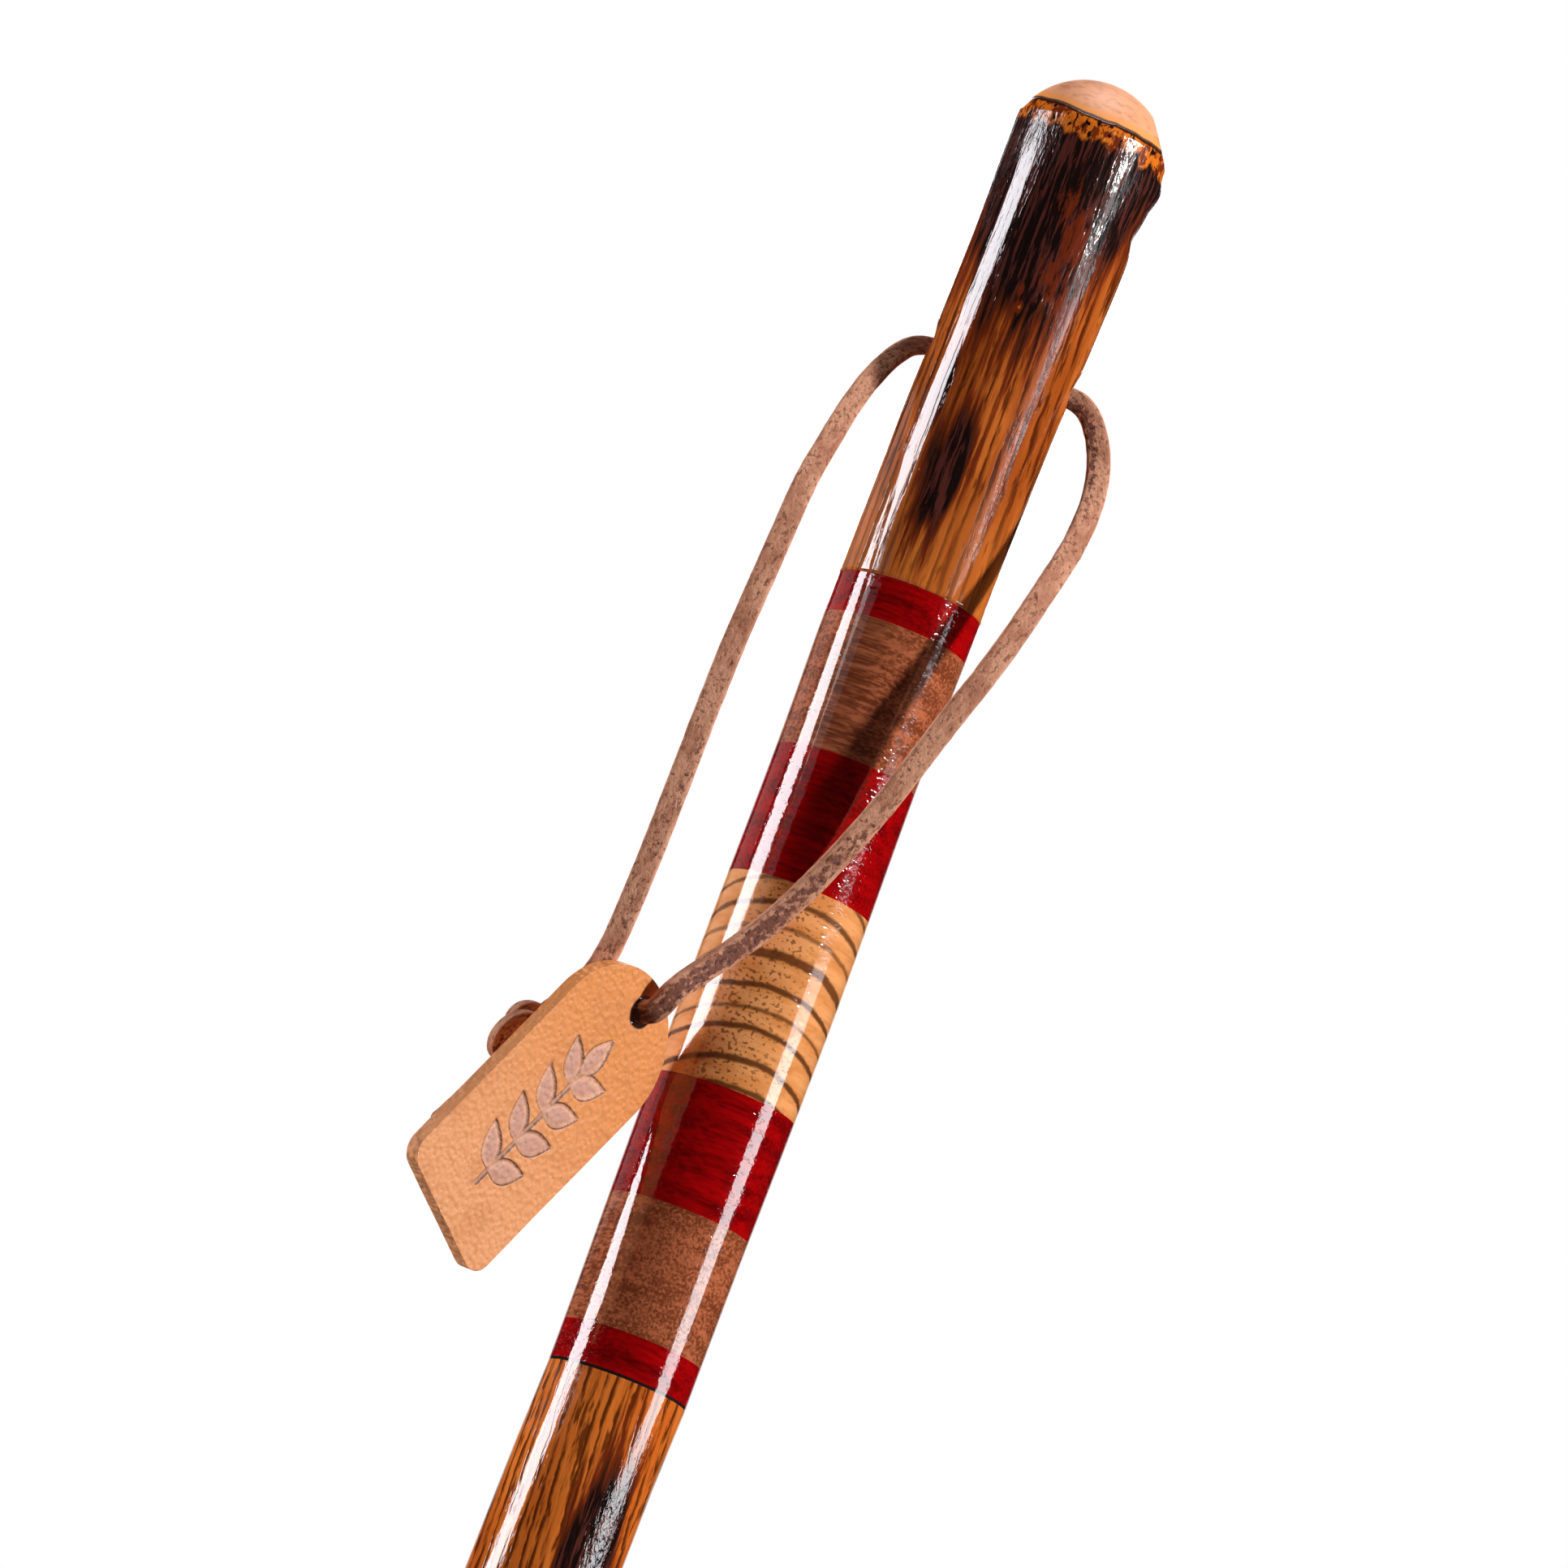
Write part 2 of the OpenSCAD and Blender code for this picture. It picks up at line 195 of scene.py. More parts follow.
def split(tree, vector):
    return addNode(tree, "SeparateXYZ", {0: vector}).outputs


def addWorld(look):
    world = bpy.data.worlds.new("studioWorld")
    world.use_nodes = True
    bpy.context.scene.world = world
    tree = world.node_tree
    rays = addNode(tree, "LightPath").outputs
    heading = split(tree, addNode(tree, "TexCoord").outputs["Generated"])
    behind = fade(tree, heading[1], look["behindStart"], look["behindEnd"])
    mirrored = calc(tree, "MULTIPLY", rays["Is Glossy Ray"], behind)
    seen = calc(tree, "MAXIMUM", rays["Is Camera Ray"], rays["Is Transmission Ray"])
    share = calc(tree, "MAXIMUM", seen, mirrored)
    dim = (look["fill"],) * 3 + (1,)
    bright = (look["white"],) * 3 + (1,)
    plug(tree, mixColors(tree, share, dim, bright), tree.nodes["Background"].inputs["Color"])


def addFloor(look):
    bm = bmesh.new()
    bmesh.ops.create_grid(bm, x_segments=8, y_segments=8, size=look["reach"])
    bmesh.ops.translate(bm, verts=bm.verts, vec=(0, 0, -0.5 * mm))
    floor = addMesh("paleFloor", bm)
    paint, tree, shader = startMaterial("palePaint")
    shader.inputs["Roughness"].default_value = 0.9
    shader.inputs["Emission Color"].default_value = (1, 1, 1, 1)
    rays = addNode(tree, "LightPath").outputs
    seen = calc(tree, "MAXIMUM", rays["Is Camera Ray"], rays["Is Transmission Ray"])
    shown = calc(tree, "MAXIMUM", seen, rays["Is Glossy Ray"])
    plug(tree, mixColors(tree, shown, look["bounce"], look["color"]), shader.inputs["Base Color"])
    at = addNode(tree, "TexCoord").outputs["Object"]
    away = vectorMath(tree, "LENGTH", at)["Value"]
    blend, glow = look["blend"], look["glow"]
    glowing = fade(tree, away, blend["near"], blend["far"], glow["near"], glow["far"])
    plug(tree, calc(tree, "MULTIPLY", seen, glowing), shader.inputs["Emission Strength"])
    floor.data.materials.append(paint)


for lampName, lampLook in studioLamps.items():
    addLamp(lampName, {**lampUsual, **lampLook})
addWorld(studioWorld)
addFloor(studioFloor)
print("camera, lamps, world and floor ready")


# Shared finishes as node groups

def startGroup(name, inputs, outputs):
    group = bpy.data.node_groups.new(name, "ShaderNodeTree")
    for label, kind, value in inputs:
        socket = group.interface.new_socket(label, in_out="INPUT", socket_type="NodeSocket" + kind)
        socket.default_value = value
    for label, kind in outputs:
        group.interface.new_socket(label, in_out="OUTPUT", socket_type="NodeSocket" + kind)
    given = group.nodes.new("NodeGroupInput").outputs
    wanted = group.nodes.new("NodeGroupOutput").inputs
    return group, given, wanted


def useGroup(tree, group, values):
    made = tree.nodes.new("ShaderNodeGroup")
    made.node_tree = group
    for name, value in values.items():
        plug(tree, value, made.inputs[name])
    return made.outputs


def makeLongGrain():  # oak rings round a pith beside the staff, drawn out along it
    group, given, wanted = startGroup(
        "longGrain",
        [("At", "Vector", (0, 0, 0)), ("Pith", "Vector", (0, 0, 0)), ("Ring", "Float", 0.0014),
         ("Wander", "Float", 0.002)],
        [("Streak", "Float"), ("Fibre", "Float"), ("Tone", "Float")])
    flat = vectorMath(group, "MULTIPLY", given["At"], (1, 1, 0))[0]
    away = vectorMath(group, "DISTANCE", flat, given["Pith"])["Value"]
    slow = calc(group, "SUBTRACT", speckle(group, given["At"], (60, 60, 12), 1), 0.5)
    quick = calc(group, "SUBTRACT", speckle(group, given["At"], (320, 320, 120), 3, 0.6), 0.5)
    drift = calc(group, "MULTIPLY_ADD", quick, 0.55, slow)
    bent = calc(group, "MULTIPLY_ADD", drift, given["Wander"], away)
    turn = calc(group, "FRACT", calc(group, "DIVIDE", bent, given["Ring"]))
    line = calc(group, "MULTIPLY", fade(group, turn, 0.0, 0.12), fade(group, turn, 0.24, 0.60, 1.0, 0.0))
    breaks = fade(group, speckle(group, given["At"], (700, 700, 85), 3, 0.6), 0.36, 0.52, 0.12, 1.0)
    strands = fade(group, speckle(group, given["At"], (820, 820, 120), 3, 0.6), 0.55, 0.66, 0.0, 0.9)
    plug(group, calc(group, "MAXIMUM", calc(group, "MULTIPLY", line, breaks), strands), wanted["Streak"])
    plug(group, speckle(group, given["At"], (2100, 2100, 160), 3, 0.65), wanted["Fibre"])
    plug(group, speckle(group, given["At"], (150, 150, 22), 3), wanted["Tone"])
    return group


def makeCrossGrain():  # fibres lying along X of the vector given
    group, given, wanted = startGroup(
        "crossGrain", [("At", "Vector", (0, 0, 0))],
        [("Fibre", "Float"), ("Pores", "Float"), ("Figure", "Float")])
    plug(group, speckle(group, given["At"], (140, 1700, 1700), 3, 0.6), wanted["Fibre"])
    holes = speckle(group, given["At"], (230, 1250, 1500), 1, 0.4)
    plug(group, fade(group, holes, 0.57, 0.64), wanted["Pores"])
    plug(group, speckle(group, given["At"], (45, 130, 420), 3, 0.55), wanted["Figure"])
    return group


def makeLacquerSkin():  # height in millimetres: long waves of poured lacquer, fine peel and sunken pores
    group, given, wanted = startGroup(
        "lacquerSkin",
        [("At", "Vector", (0, 0, 0)), ("Pores", "Float", 0.0), ("Sink", "Float", 0.004),
         ("Peel", "Float", 0.01)],
        [("Height", "Float")])
    waves = calc(group, "MULTIPLY", speckle(group, given["At"], (300, 300, 170), 2, 0.45), 0.022)
    peel = speckle(group, given["At"], (1000, 1000, 800), 1)
    peeled = calc(group, "MULTIPLY_ADD", peel, given["Peel"], waves)
    sunk = calc(group, "MULTIPLY", given["Pores"], given["Sink"])
    plug(group, calc(group, "SUBTRACT", peeled, sunk), wanted["Height"])
    return group


longGrain = makeLongGrain()
crossGrain = makeCrossGrain()
lacquerSkin = makeLacquerSkin()


# Wood finishes

lacquer = {"ior": 1.7, "roughness": 0.06}
oakLook = {
    "light": {"head": (0.66, 0.165, 0.026, 1), "shaft": (0.90, 0.235, 0.034, 1)},
    "warm": {"head": (0.38, 0.078, 0.010, 1), "shaft": (0.66, 0.140, 0.016, 1)},
    "streak": (0.075, 0.012, 0.002, 1),
    "pale": (0.95, 0.30, 0.055, 1),  # the head's wood brightens towards its foot
    "paleFrom": 1298 * mm,
    "paleTo": 1316 * mm,
    "paleShare": 0.18,
    "pith": (-0.060, 0.012, 0),
    "ring": 1.8 * mm,
    "wander": {"head": 2.0 * mm, "shaft": 3.4 * mm},
    "slant": {"head": 0.5, "shaft": 3.0},  # degrees off the staff's line
    "sink": 0.015,
    "ridge": 0.14,  # millimetres of char and raised grain at full roughness
}
scorchLook = {
    "black": (0.010, 0.0045, 0.004, 1),
    "maroon": (0.105, 0.024, 0.018, 1),
    "brown": (0.10, 0.020, 0.006, 1),
    "red": (0.21, 0.028, 0.006, 1),
    "orange": (0.78, 0.19, 0.014, 1),
    "dull": 0.13,  # added to the lacquer's roughness on full char
}
domeLook = {
    "bare": (0.80, 0.34, 0.165, 1),
    "streak": (0.54, 0.195, 0.080, 1),
    "rim": (0.88, 0.31, 0.060, 1),
    "line": (0.050, 0.010, 0.003, 1),
    "rimHeight": 2.1,
    "emberDrop": 4.2,
    "dull": 0.4,  # added to the lacquer's roughness on the bare wood
}
redLook = {
    "dark": (0.13, 0.0004, 0.001, 1),
    "light": (0.44, 0.001, 0.0022, 1),
    "fibre": 0.5,  # share of the fibres in the tone, the rest being broad figure
    "tones": (0.32, 0.64),
    "pores": 0.25,
    "sink": 0.008,
    "peel": 0.022,
}
walnutLook = {
    "dark": (0.19, 0.044, 0.016, 1),
    "light": (0.52, 0.150, 0.064, 1),
    "fibre": 0.6,
    "tones": (0.41, 0.60),
    "pores": 0.55,
    "sink": 0.006,
    "peel": 0.004,
}
zebraLook = {
    "honey": (0.90, 0.385, 0.140, 1),
    "amber": (0.76, 0.280, 0.080, 1),
    "stripe": (0.13, 0.037, 0.010, 1),
    "lean": (-90, 360, 1000),  # how the growth layers lie, in millimetres a metre along X, Y and Z
    "sway": 2.2,  # slow and quick wander of the layers, in millimetres
    "jitter": 0.5,
    "stripes": [  # level, half width and strength of each
        (1170.0, 0.4, 0.85), (1175.0, 0.45, 0.9), (1180.2, 0.5, 0.95), (1185.5, 0.55, 0.95),
        (1192.0, 0.5, 0.95), (1196.0, 0.3, 0.8), (1200.7, 0.5, 0.95), (1207.0, 0.8, 0.92),
        (1212.2, 0.4, 0.7), (1217.0, 0.5, 0.9), (1222.0, 0.4, 0.85), (1227.0, 0.6, 0.9),
        (1232.0, 0.4, 0.85), (1237.0, 0.5, 0.85)],
    "sink": 0.006,
    "peel": 0.005,
}


def startWood(name):
    wood, tree, shader = startMaterial(name)
    shader.inputs["IOR"].default_value = lacquer["ior"]
    shader.inputs["Roughness"].default_value = lacquer["roughness"]
    at = addNode(tree, "TexCoord").outputs["Object"]
    return wood, tree, shader, at


def addSkin(tree, shader, height):  # height in millimetres
    bump = addNode(tree, "Bump", {"Height": height, "Distance": mm, "Strength": 1.0})
    plug(tree, bump.outputs["Normal"], shader.inputs["Normal"])


def attribute(tree, name, output="Fac"):
    return addNode(tree, "Attribute", attribute_name=name).outputs[output]


def turnGrain(tree, at, x, y, z):
    turn = (math.radians(x), math.radians(y), math.radians(z))
    return addNode(tree, "Mapping", {"Vector": at, "Rotation": turn}).outputs[0]


def oakColor(tree, at, place):
    grain = useGroup(tree, longGrain, {"At": at, "Pith": oakLook["pith"], "Ring": oakLook["ring"],
                                       "Wander": oakLook["wander"][place]})
    light, warm = oakLook["light"][place], oakLook["warm"][place]
    ground = mixColors(tree, fade(tree, grain["Tone"], 0.36, 0.62), warm, light)
    fibred = mixColors(tree, fade(tree, grain["Fibre"], 0.42, 0.70, 0.0, 0.6), ground, warm)
    color = mixColors(tree, calc(tree, "MULTIPLY", grain["Streak"], 0.92), fibred, oakLook["streak"])
    return color, grain


def addScorch(tree, at, color, depth):  # reddens, browns and blackens the wood as depth rises through 0
    tongues = calc(tree, "MULTIPLY_ADD", speckle(tree, at, (620, 620, 42), 4, 0.62), 4.4, -2.2)
    ragged = calc(tree, "ADD", depth, tongues)
    toasted = mixColors(tree, fade(tree, ragged, -1.1, -0.2), color, scorchLook["red"])
    browned = mixColors(tree, fade(tree, ragged, -0.6, 0.1), toasted, scorchLook["brown"])
    maroon = mixColors(tree, fade(tree, speckle(tree, at, (1300, 1300, 110), 3, 0.62), 0.47, 0.60),
                       scorchLook["black"], scorchLook["maroon"])
    black = fade(tree, ragged, -0.15, 0.45)
    return mixColors(tree, black, browned, maroon)


def makeOak(name, place):
    wood, tree, shader, at = startWood(name)
    slanted = turnGrain(tree, at, 0, oakLook["slant"][place], 0)
    color, grain = oakColor(tree, slanted, place)
    if place == "head":
        level = split(tree, at)[2]
        pale = fade(tree, level, oakLook["paleFrom"], oakLook["paleTo"], oakLook["paleShare"], 0.0)
        color = mixColors(tree, pale, color, oakLook["pale"])
    color = addScorch(tree, slanted, color, attribute(tree, "scorch"))
    height = useGroup(tree, lacquerSkin, {"At": at, "Pores": grain["Streak"], "Sink": oakLook["sink"],
                                          "Peel": 0.003})["Height"]
    coarse = speckle(tree, slanted, (900, 900, 170), 3, 0.6)
    fine = speckle(tree, slanted, (1900, 1900, 600), 2)
    ridges = calc(tree, "MULTIPLY", calc(tree, "ADD", coarse, fine), oakLook["ridge"])
    height = calc(tree, "MULTIPLY_ADD", ridges, attribute(tree, "rough"), height)
    if place == "head":
        color = addEmbers(tree, at, color)
        color, bare = addDome(tree, at, color)
        rough = attribute(tree, "rough")
        charred = calc(tree, "MULTIPLY_ADD", rough, scorchLook["dull"], lacquer["roughness"])
        plug(tree, calc(tree, "MULTIPLY_ADD", bare, domeLook["dull"], charred), shader.inputs["Roughness"])
        height = calc(tree, "MULTIPLY", height, calc(tree, "SUBTRACT", 1.0, bare))
    plug(tree, color, shader.inputs["Base Color"])
    addSkin(tree, shader, height)
    return wood


def addEmbers(tree, at, color):  # red-brown and orange patches left inside the char
    patches = calc(tree, "ADD", attribute(tree, "ember"),
                   calc(tree, "MULTIPLY_ADD", speckle(tree, at, (900, 900, 190), 4, 0.65), 3.4, -1.75))
    color = mixColors(tree, fade(tree, patches, 0.30, 0.80, 0.0, 0.7), color, scorchLook["red"])
    return mixColors(tree, fade(tree, patches, 1.45, 1.75, 0.0, 0.9), color, scorchLook["orange"])


def addDome(tree, at, color):  # burnt line, mottled orange edge under it and bare wood over it
    wave = calc(tree, "MULTIPLY_ADD", speckle(tree, at, (170, 170, 0), 3), 1.4, -0.7)
    over = calc(tree, "SUBTRACT", attribute(tree, "overLine"), wave)
    mottle = speckle(tree, at, (650, 650, 420), 4, 0.62)
    specks = speckle(tree, at, (900, 900, 520), 2, 0.55)
    tongue = calc(tree, "MULTIPLY_ADD", speckle(tree, at, (330, 330, 40), 3, 0.6), 10.0, -5.0)
    low = calc(tree, "ADD", calc(tree, "ADD", over, domeLook["emberDrop"]), tongue)
    edge = fade(tree, low, -0.4, 0.8)
    color = mixColors(tree, edge, color, scorchLook["red"])
    lit = calc(tree, "MULTIPLY", edge, fade(tree, mottle, 0.44, 0.52))
    color = mixColors(tree, lit, color, scorchLook["orange"])
    burnt = calc(tree, "MULTIPLY", edge, fade(tree, specks, 0.58, 0.64))
    color = mixColors(tree, burnt, color, scorchLook["black"])
    bare = fade(tree, over, -0.1, 0.1)
    rimmed = fade(tree, over, domeLook["rimHeight"] * 0.6, domeLook["rimHeight"] * 1.1)
    arcs = speckle(tree, at, (420, 90, 900), 4, 0.6)
    plain = mixColors(tree, fade(tree, arcs, 0.45, 0.70, 0.0, 0.8), domeLook["bare"], domeLook["streak"])
    top = mixColors(tree, rimmed, domeLook["rim"], plain)
    color = mixColors(tree, bare, color, top)
    line = fade(tree, calc(tree, "ABSOLUTE", over), 0.30, 0.70, 1.0, 0.0)
    return mixColors(tree, line, color, domeLook["line"]), bare


def finishBand(tree, shader, at, color, pores, look):
    plug(tree, color, shader.inputs["Base Color"])
    values = {"At": at, "Pores": pores, "Sink": look["sink"], "Peel": look["peel"]}
    addSkin(tree, shader, useGroup(tree, lacquerSkin, values)["Height"])


def makeFigured(name, look, degrees):
    wood, tree, shader, at = startWood(name)
    grain = useGroup(tree, crossGrain, {"At": turnGrain(tree, at, 0, 0, degrees)})
    figure = calc(tree, "MULTIPLY", grain["Figure"], 1 - look["fibre"])
    tone = calc(tree, "MULTIPLY_ADD", grain["Fibre"], look["fibre"], figure)
    color = mixColors(tree, fade(tree, tone, *look["tones"]), look["dark"], look["light"])
    color = mixColors(tree, calc(tree, "MULTIPLY", grain["Pores"], look["pores"]), color, look["dark"])
    finishBand(tree, shader, at, color, grain["Pores"], look)
    return wood


def makeZebra(name, degrees):
    wood, tree, shader, at = startWood(name)
    grain = useGroup(tree, crossGrain, {"At": turnGrain(tree, at, 0, 0, degrees)})
    level = vectorMath(tree, "DOT_PRODUCT", at, zebraLook["lean"])["Value"]
    for scale, amount in (((70, 70, 70), zebraLook["sway"]), ((600, 600, 1200), zebraLook["jitter"])):
        wander = calc(tree, "SUBTRACT", speckle(tree, at, scale, 2), 0.5)
        level = calc(tree, "MULTIPLY_ADD", wander, amount, level)
    line = 0.0
    for height, half, strength in zebraLook["stripes"]:
        off = calc(tree, "ABSOLUTE", calc(tree, "SUBTRACT", level, height))
        line = calc(tree, "MAXIMUM", line, fade(tree, off, half - 0.25, half + 0.4, strength, 0.0))
    ground = mixColors(tree, fade(tree, grain["Figure"], 0.35, 0.65), zebraLook["amber"], zebraLook["honey"])
    across = split(tree, at)[0]
    left = fade(tree, across, -11 * mm, -4 * mm)
    right = fade(tree, across, 1 * mm, 10 * mm, 0.75, 0.12)
    pores = calc(tree, "MULTIPLY", grain["Pores"], calc(tree, "MULTIPLY", left, right))
    color = mixColors(tree, pores, ground, zebraLook["stripe"])
    color = mixColors(tree, line, color, zebraLook["stripe"])
    finishBand(tree, shader, at, color, grain["Pores"], zebraLook)
    return wood


# Turned wood

staff = {  # the turned shape in millimetres, as the frame has it
    "steps": 192,
    "grain": 1.0,  # height of one row of faces
    "boreRadius": 6.4,
    "boreDepth": 36.5,
    "jointGroove": 0.15,
    "bow": [  # sideways drift of the axis at each height
        (0, 0), (980, 0), (1060, 0.25), (1110, 0.55), (1126, 0.95), (1142, 0.8), (1158, 0.6), (1206, 0.25),
        (1246, -0.2), (1276, -0.52), (1300, -0.5), (1326, -0.28), (1342, 0.14), (1360, 0.55), (1384, 0.72),
        (1400, 0.72)],
    "wholeFrom": 1340,  # over this height there is no bore, so the whole section drifts
}


def heightsOf(node):
    low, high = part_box(node)
    return low.z / mm, high.z / mm


def ease(low, high, share):
    return low + (high - low) * (1 - math.cos(math.pi * share)) / 2


def turnOutline(outline, steps, closed=False):  # spins an outline of (radius, height), in millimetres
    bm = bmesh.new()
    corners = [bm.verts.new((radius * mm, 0, z * mm)) for radius, z in outline]
    edges = [bm.edges.new(pair) for pair in zip(corners, corners[1:])]
    if closed:
        edges.append(bm.edges.new((corners[-1], corners[0])))
    bmesh.ops.spin(bm, geom=corners + edges, cent=(0, 0, 0), axis=(0, 0, 1), angle=math.tau,
                   steps=steps, use_merge=True)
    bmesh.ops.remove_doubles(bm, verts=bm.verts, dist=0.0005 * mm)
    bmesh.ops.recalc_face_normals(bm, faces=bm.faces)
    return bm


def alongList(pairs, x):  # straight steps between (x, y) pairs
    for (x0, y0), (x1, y1) in zip(pairs, pairs[1:]):
        if x <= x1:
            return y0 + (y1 - y0) * (x - x0) / (x1 - x0)
    return pairs[-1][1]


def inBore(co):
    return math.hypot(co.x, co.y) / mm <= staff["boreRadius"] + 0.5


def ripple(co, across, along):  # smooth noise from -1 to 1, in repeats a metre
    return noise.noise(Vector((co.x * across, co.y * across, co.z * along)))


def bend(bm):  # lets the outside follow the staff's slight natural bow
    for vert in bm.verts:
        z = vert.co.z / mm
        if not inBore(vert.co) or z > staff["wholeFrom"]:
            vert.co.x += alongList(staff["bow"], z) * mm


def rows(low, high, step):
    count = max(1, round((high - low) / step))
    return [low + (high - low) * i / count for i in range(count + 1)]


def finishPiece(bm, name, material, body, nodes, sharp=40):
    piece = addMesh(name, bm)
    piece.data.shade_smooth()
    piece.data.set_sharp_from_angle(angle=math.radians(sharp))
    piece.data.materials.append(material)
    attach(piece, body)
    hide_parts(*nodes)
    return piece


upperZ = heightsOf("top_red_band")[1]
waistZ = heightsOf("upper_walnut_band")[0]
palmZ = sum(heightsOf("zebrawood_band")) / 2
lowerZ = heightsOf("bottom_red_band")[0]
upperRadius = 14.45
waistRadius = 14.1
palmRadius = 14.45
lowerRadius = 13.85


def gripRadius(z):
    if z < palmZ:
        return ease(lowerRadius, palmRadius, (z - lowerZ) / (palmZ - lowerZ))
    if z < waistZ:
        return ease(palmRadius, waistRadius, (z - palmZ) / (waistZ - palmZ))
    return ease(waistRadius, upperRadius, (z - waistZ) / (upperZ - waistZ))


def makeBand(name, node, material, eased=(0, 0)):  # eased: size of the lower and the upper edge
    low, high = heightsOf(node)
    outer = [(gripRadius(z), z) for z in rows(low + eased[0], high - eased[1], staff["grain"])]
    if eased[0]:
        outer.insert(0, (gripRadius(low) - eased[0], low))
    if eased[1]:
        outer.append((gripRadius(high) - eased[1], high))
    bore = [(staff["boreRadius"], high), (staff["boreRadius"], low)]
    bm = turnOutline(outer + bore, staff["steps"], closed=True)
    bend(bm)
    return finishPiece(bm, name, material, "staff", [node])


redWoodUpper = makeFigured("redWoodUpper", redLook, 15)
redWoodLower = makeFigured("redWoodLower", redLook, -12)
walnutUpper = makeFigured("walnutUpper", walnutLook, 20)
walnutLower = makeFigured("walnutLower", walnutLook, 80)
zebraWood = makeZebra("zebraWood", 110)
groove = staff["jointGroove"]
makeBand("topRedRing", "top_red_band", redWoodUpper, (0, groove))
makeBand("upperWalnutRing", "upper_walnut_band", walnutUpper)
makeBand("upperRedRing", "upper_red_band", redWoodUpper)
makeBand("zebraRing", "zebrawood_band", zebraWood)
makeBand("lowerRedRing", "lower_red_band", redWoodLower)
makeBand("lowerWalnutRing", "lower_walnut_band", walnutLower)
makeBand("bottomRedRing", "bottom_red_band", redWoodLower)
print("grip bands turned")


# Head

headShape = {
    "topRadius": 15.45,
    "flarePower": 1.7,
    "domeHeight": 10.4,
    "domeEdge": 0.8,
    "rows": 0.6,
    "steps": 256,
    "domeRows": 28,
    "flatFacing": (0.831, -0.101, 0.547),  # a flat sanded on the dome's right
    "flatReach": 15.0,  # its distance from the dome's centre
    "rimBump": (84, 1379.5, 24, 2.6, 0.9),  # degrees, height, half sizes and depth
    "rimHollow": (84, 1370, 30, 3.0, 0.75),
    "knotBump": (5, 1348.7, 7, 1.8, 0.45),
    "uneven": 0.12,  # hand-peeled waves and the ridges of the char, in millimetres
    "charRidge": 0.08,
    "charFine": 0.035,
    "holeDrop": 59.5,
    "holeRadius": 4.0,
    "holeChamfer": 0.8,
}
headScorch = {  # heights round the head, as (degrees from the front, height)
    "edge": [(-180, 1366), (-120, 1366), (-90, 1368), (-63, 1358), (-40, 1347), (-11, 1343), (5, 1342),
             (27, 1349), (36, 1360), (58, 1369), (75, 1372), (110, 1374), (150, 1368), (180, 1366)],
    "line": [(-180, 1387.5), (-130, 1388.2), (-90, 1388.7), (-60, 1388.2), (-25, 1387.2), (0, 1386.6),
             (90, 1386.5), (180, 1387.5)],
    "reach": 9.0,  # height over which the char deepens
    "toast": 14.0,  # height over which the wood under it browns
    "deepest": 2.4,
    "marks": [  # degrees, height, half sizes and depth
        (-9, 1311, 13, 13, 3.0), (-24, 1312, 14, 15, 1.75), (-36, 1327, 9, 14, 1.7), (160, 1318, 16, 16, 2.4),
        (-130, 1304, 9, 9, 2.2)],
    "embers": [
        (4, 1368, 8, 4, 0.8), (18, 1362, 12, 7, 0.9), (12, 1354, 11, 6, 0.8), (24, 1350, 8, 4, 0.9),
        (-4, 1346.4, 3.5, 1.2, 1.5), (14, 1350, 4, 1.4, 1.1), (-8, 1349.5, 2.5, 1.4, 1.2),
        (-75, 1362, 12, 9, 0.8), (-70, 1350, 10, 8, 0.9), (150, 1372, 18, 5, 0.8), (-110, 1374, 14, 5, 0.7)],
}
headSurface = {  # degrees from the front, and heights
    "filledAt": -42, "filledHalf": 17, "filledTop": 1379,  # the lacquer lies thick and smooth down this strip
    "grainAt": 22, "grainHalf": 26,  # the grain stands up most here
    "calmAt": 35, "calmHalf": 24, "calmTop": 1389,  # and the char least here
    "ridgeFrom": 1364, "coarseFrom": 1366,  # over these heights the char grows rougher
}
markFloor = 1.4  # a mark blackens where it is deeper than this


def angleOf(point):
    return math.degrees(math.atan2(point.x, -point.y))


def spot(angle, z, mark):  # a mark's full depth in its middle, and 0.37 of it at its half sizes
    middle, height, halfAngle, halfHeight, depth = mark
    away = (angle - middle + 180) % 360 - 180
    return depth * math.exp(-(away / halfAngle) ** 2 - ((z - height) / halfHeight) ** 2)


def bell(angle, middle, half, power=2):  # 1 in the middle and 0.37 at the half width
    return math.exp(-((angle - middle) / half) ** power)


def headChar(angle, z):
    over = z - alongList(headScorch["edge"], angle)
    band = over / (headScorch["reach"] if over > 0 else headScorch["toast"])
    marks = max(spot(angle, z, mark) for mark in headScorch["marks"]) - markFloor
    return max(min(band, headScorch["deepest"]), marks)


def within(value):
    return max(0.0, min(1.0, value))


def filledStrip(angle, z):
    look = headSurface
    return bell(angle, look["filledAt"], look["filledHalf"], 4) * within((look["filledTop"] - z) / 6)


def headRough(angle, z):  # how far char and raised grain stand through the lacquer
    look = headSurface
    char = within(headChar(angle, z) * 0.6 + 0.5)
    high = within((z - look["coarseFrom"]) / 9)
    grain = 0.10 + 0.16 * bell(angle, look["grainAt"], look["grainHalf"])
    calm = 0.62 * bell(angle, look["calmAt"], look["calmHalf"]) * within((look["calmTop"] - z) / 8)
    return (grain + char * (0.30 + 0.32 * high)) * (1 - 0.95 * filledStrip(angle, z)) * (1 - calm)


def headRadius(z):
    share = max(0.0, (z - upperZ) / (domeZ - upperZ))
    return upperRadius + (headShape["topRadius"] - upperRadius) * share ** headShape["flarePower"]


def domeRadius():  # of the ball that the dome is cut from
    capRadius = headShape["topRadius"] - headShape["domeEdge"] / 2
    return (capRadius ** 2 + headShape["domeHeight"] ** 2) / (2 * headShape["domeHeight"])


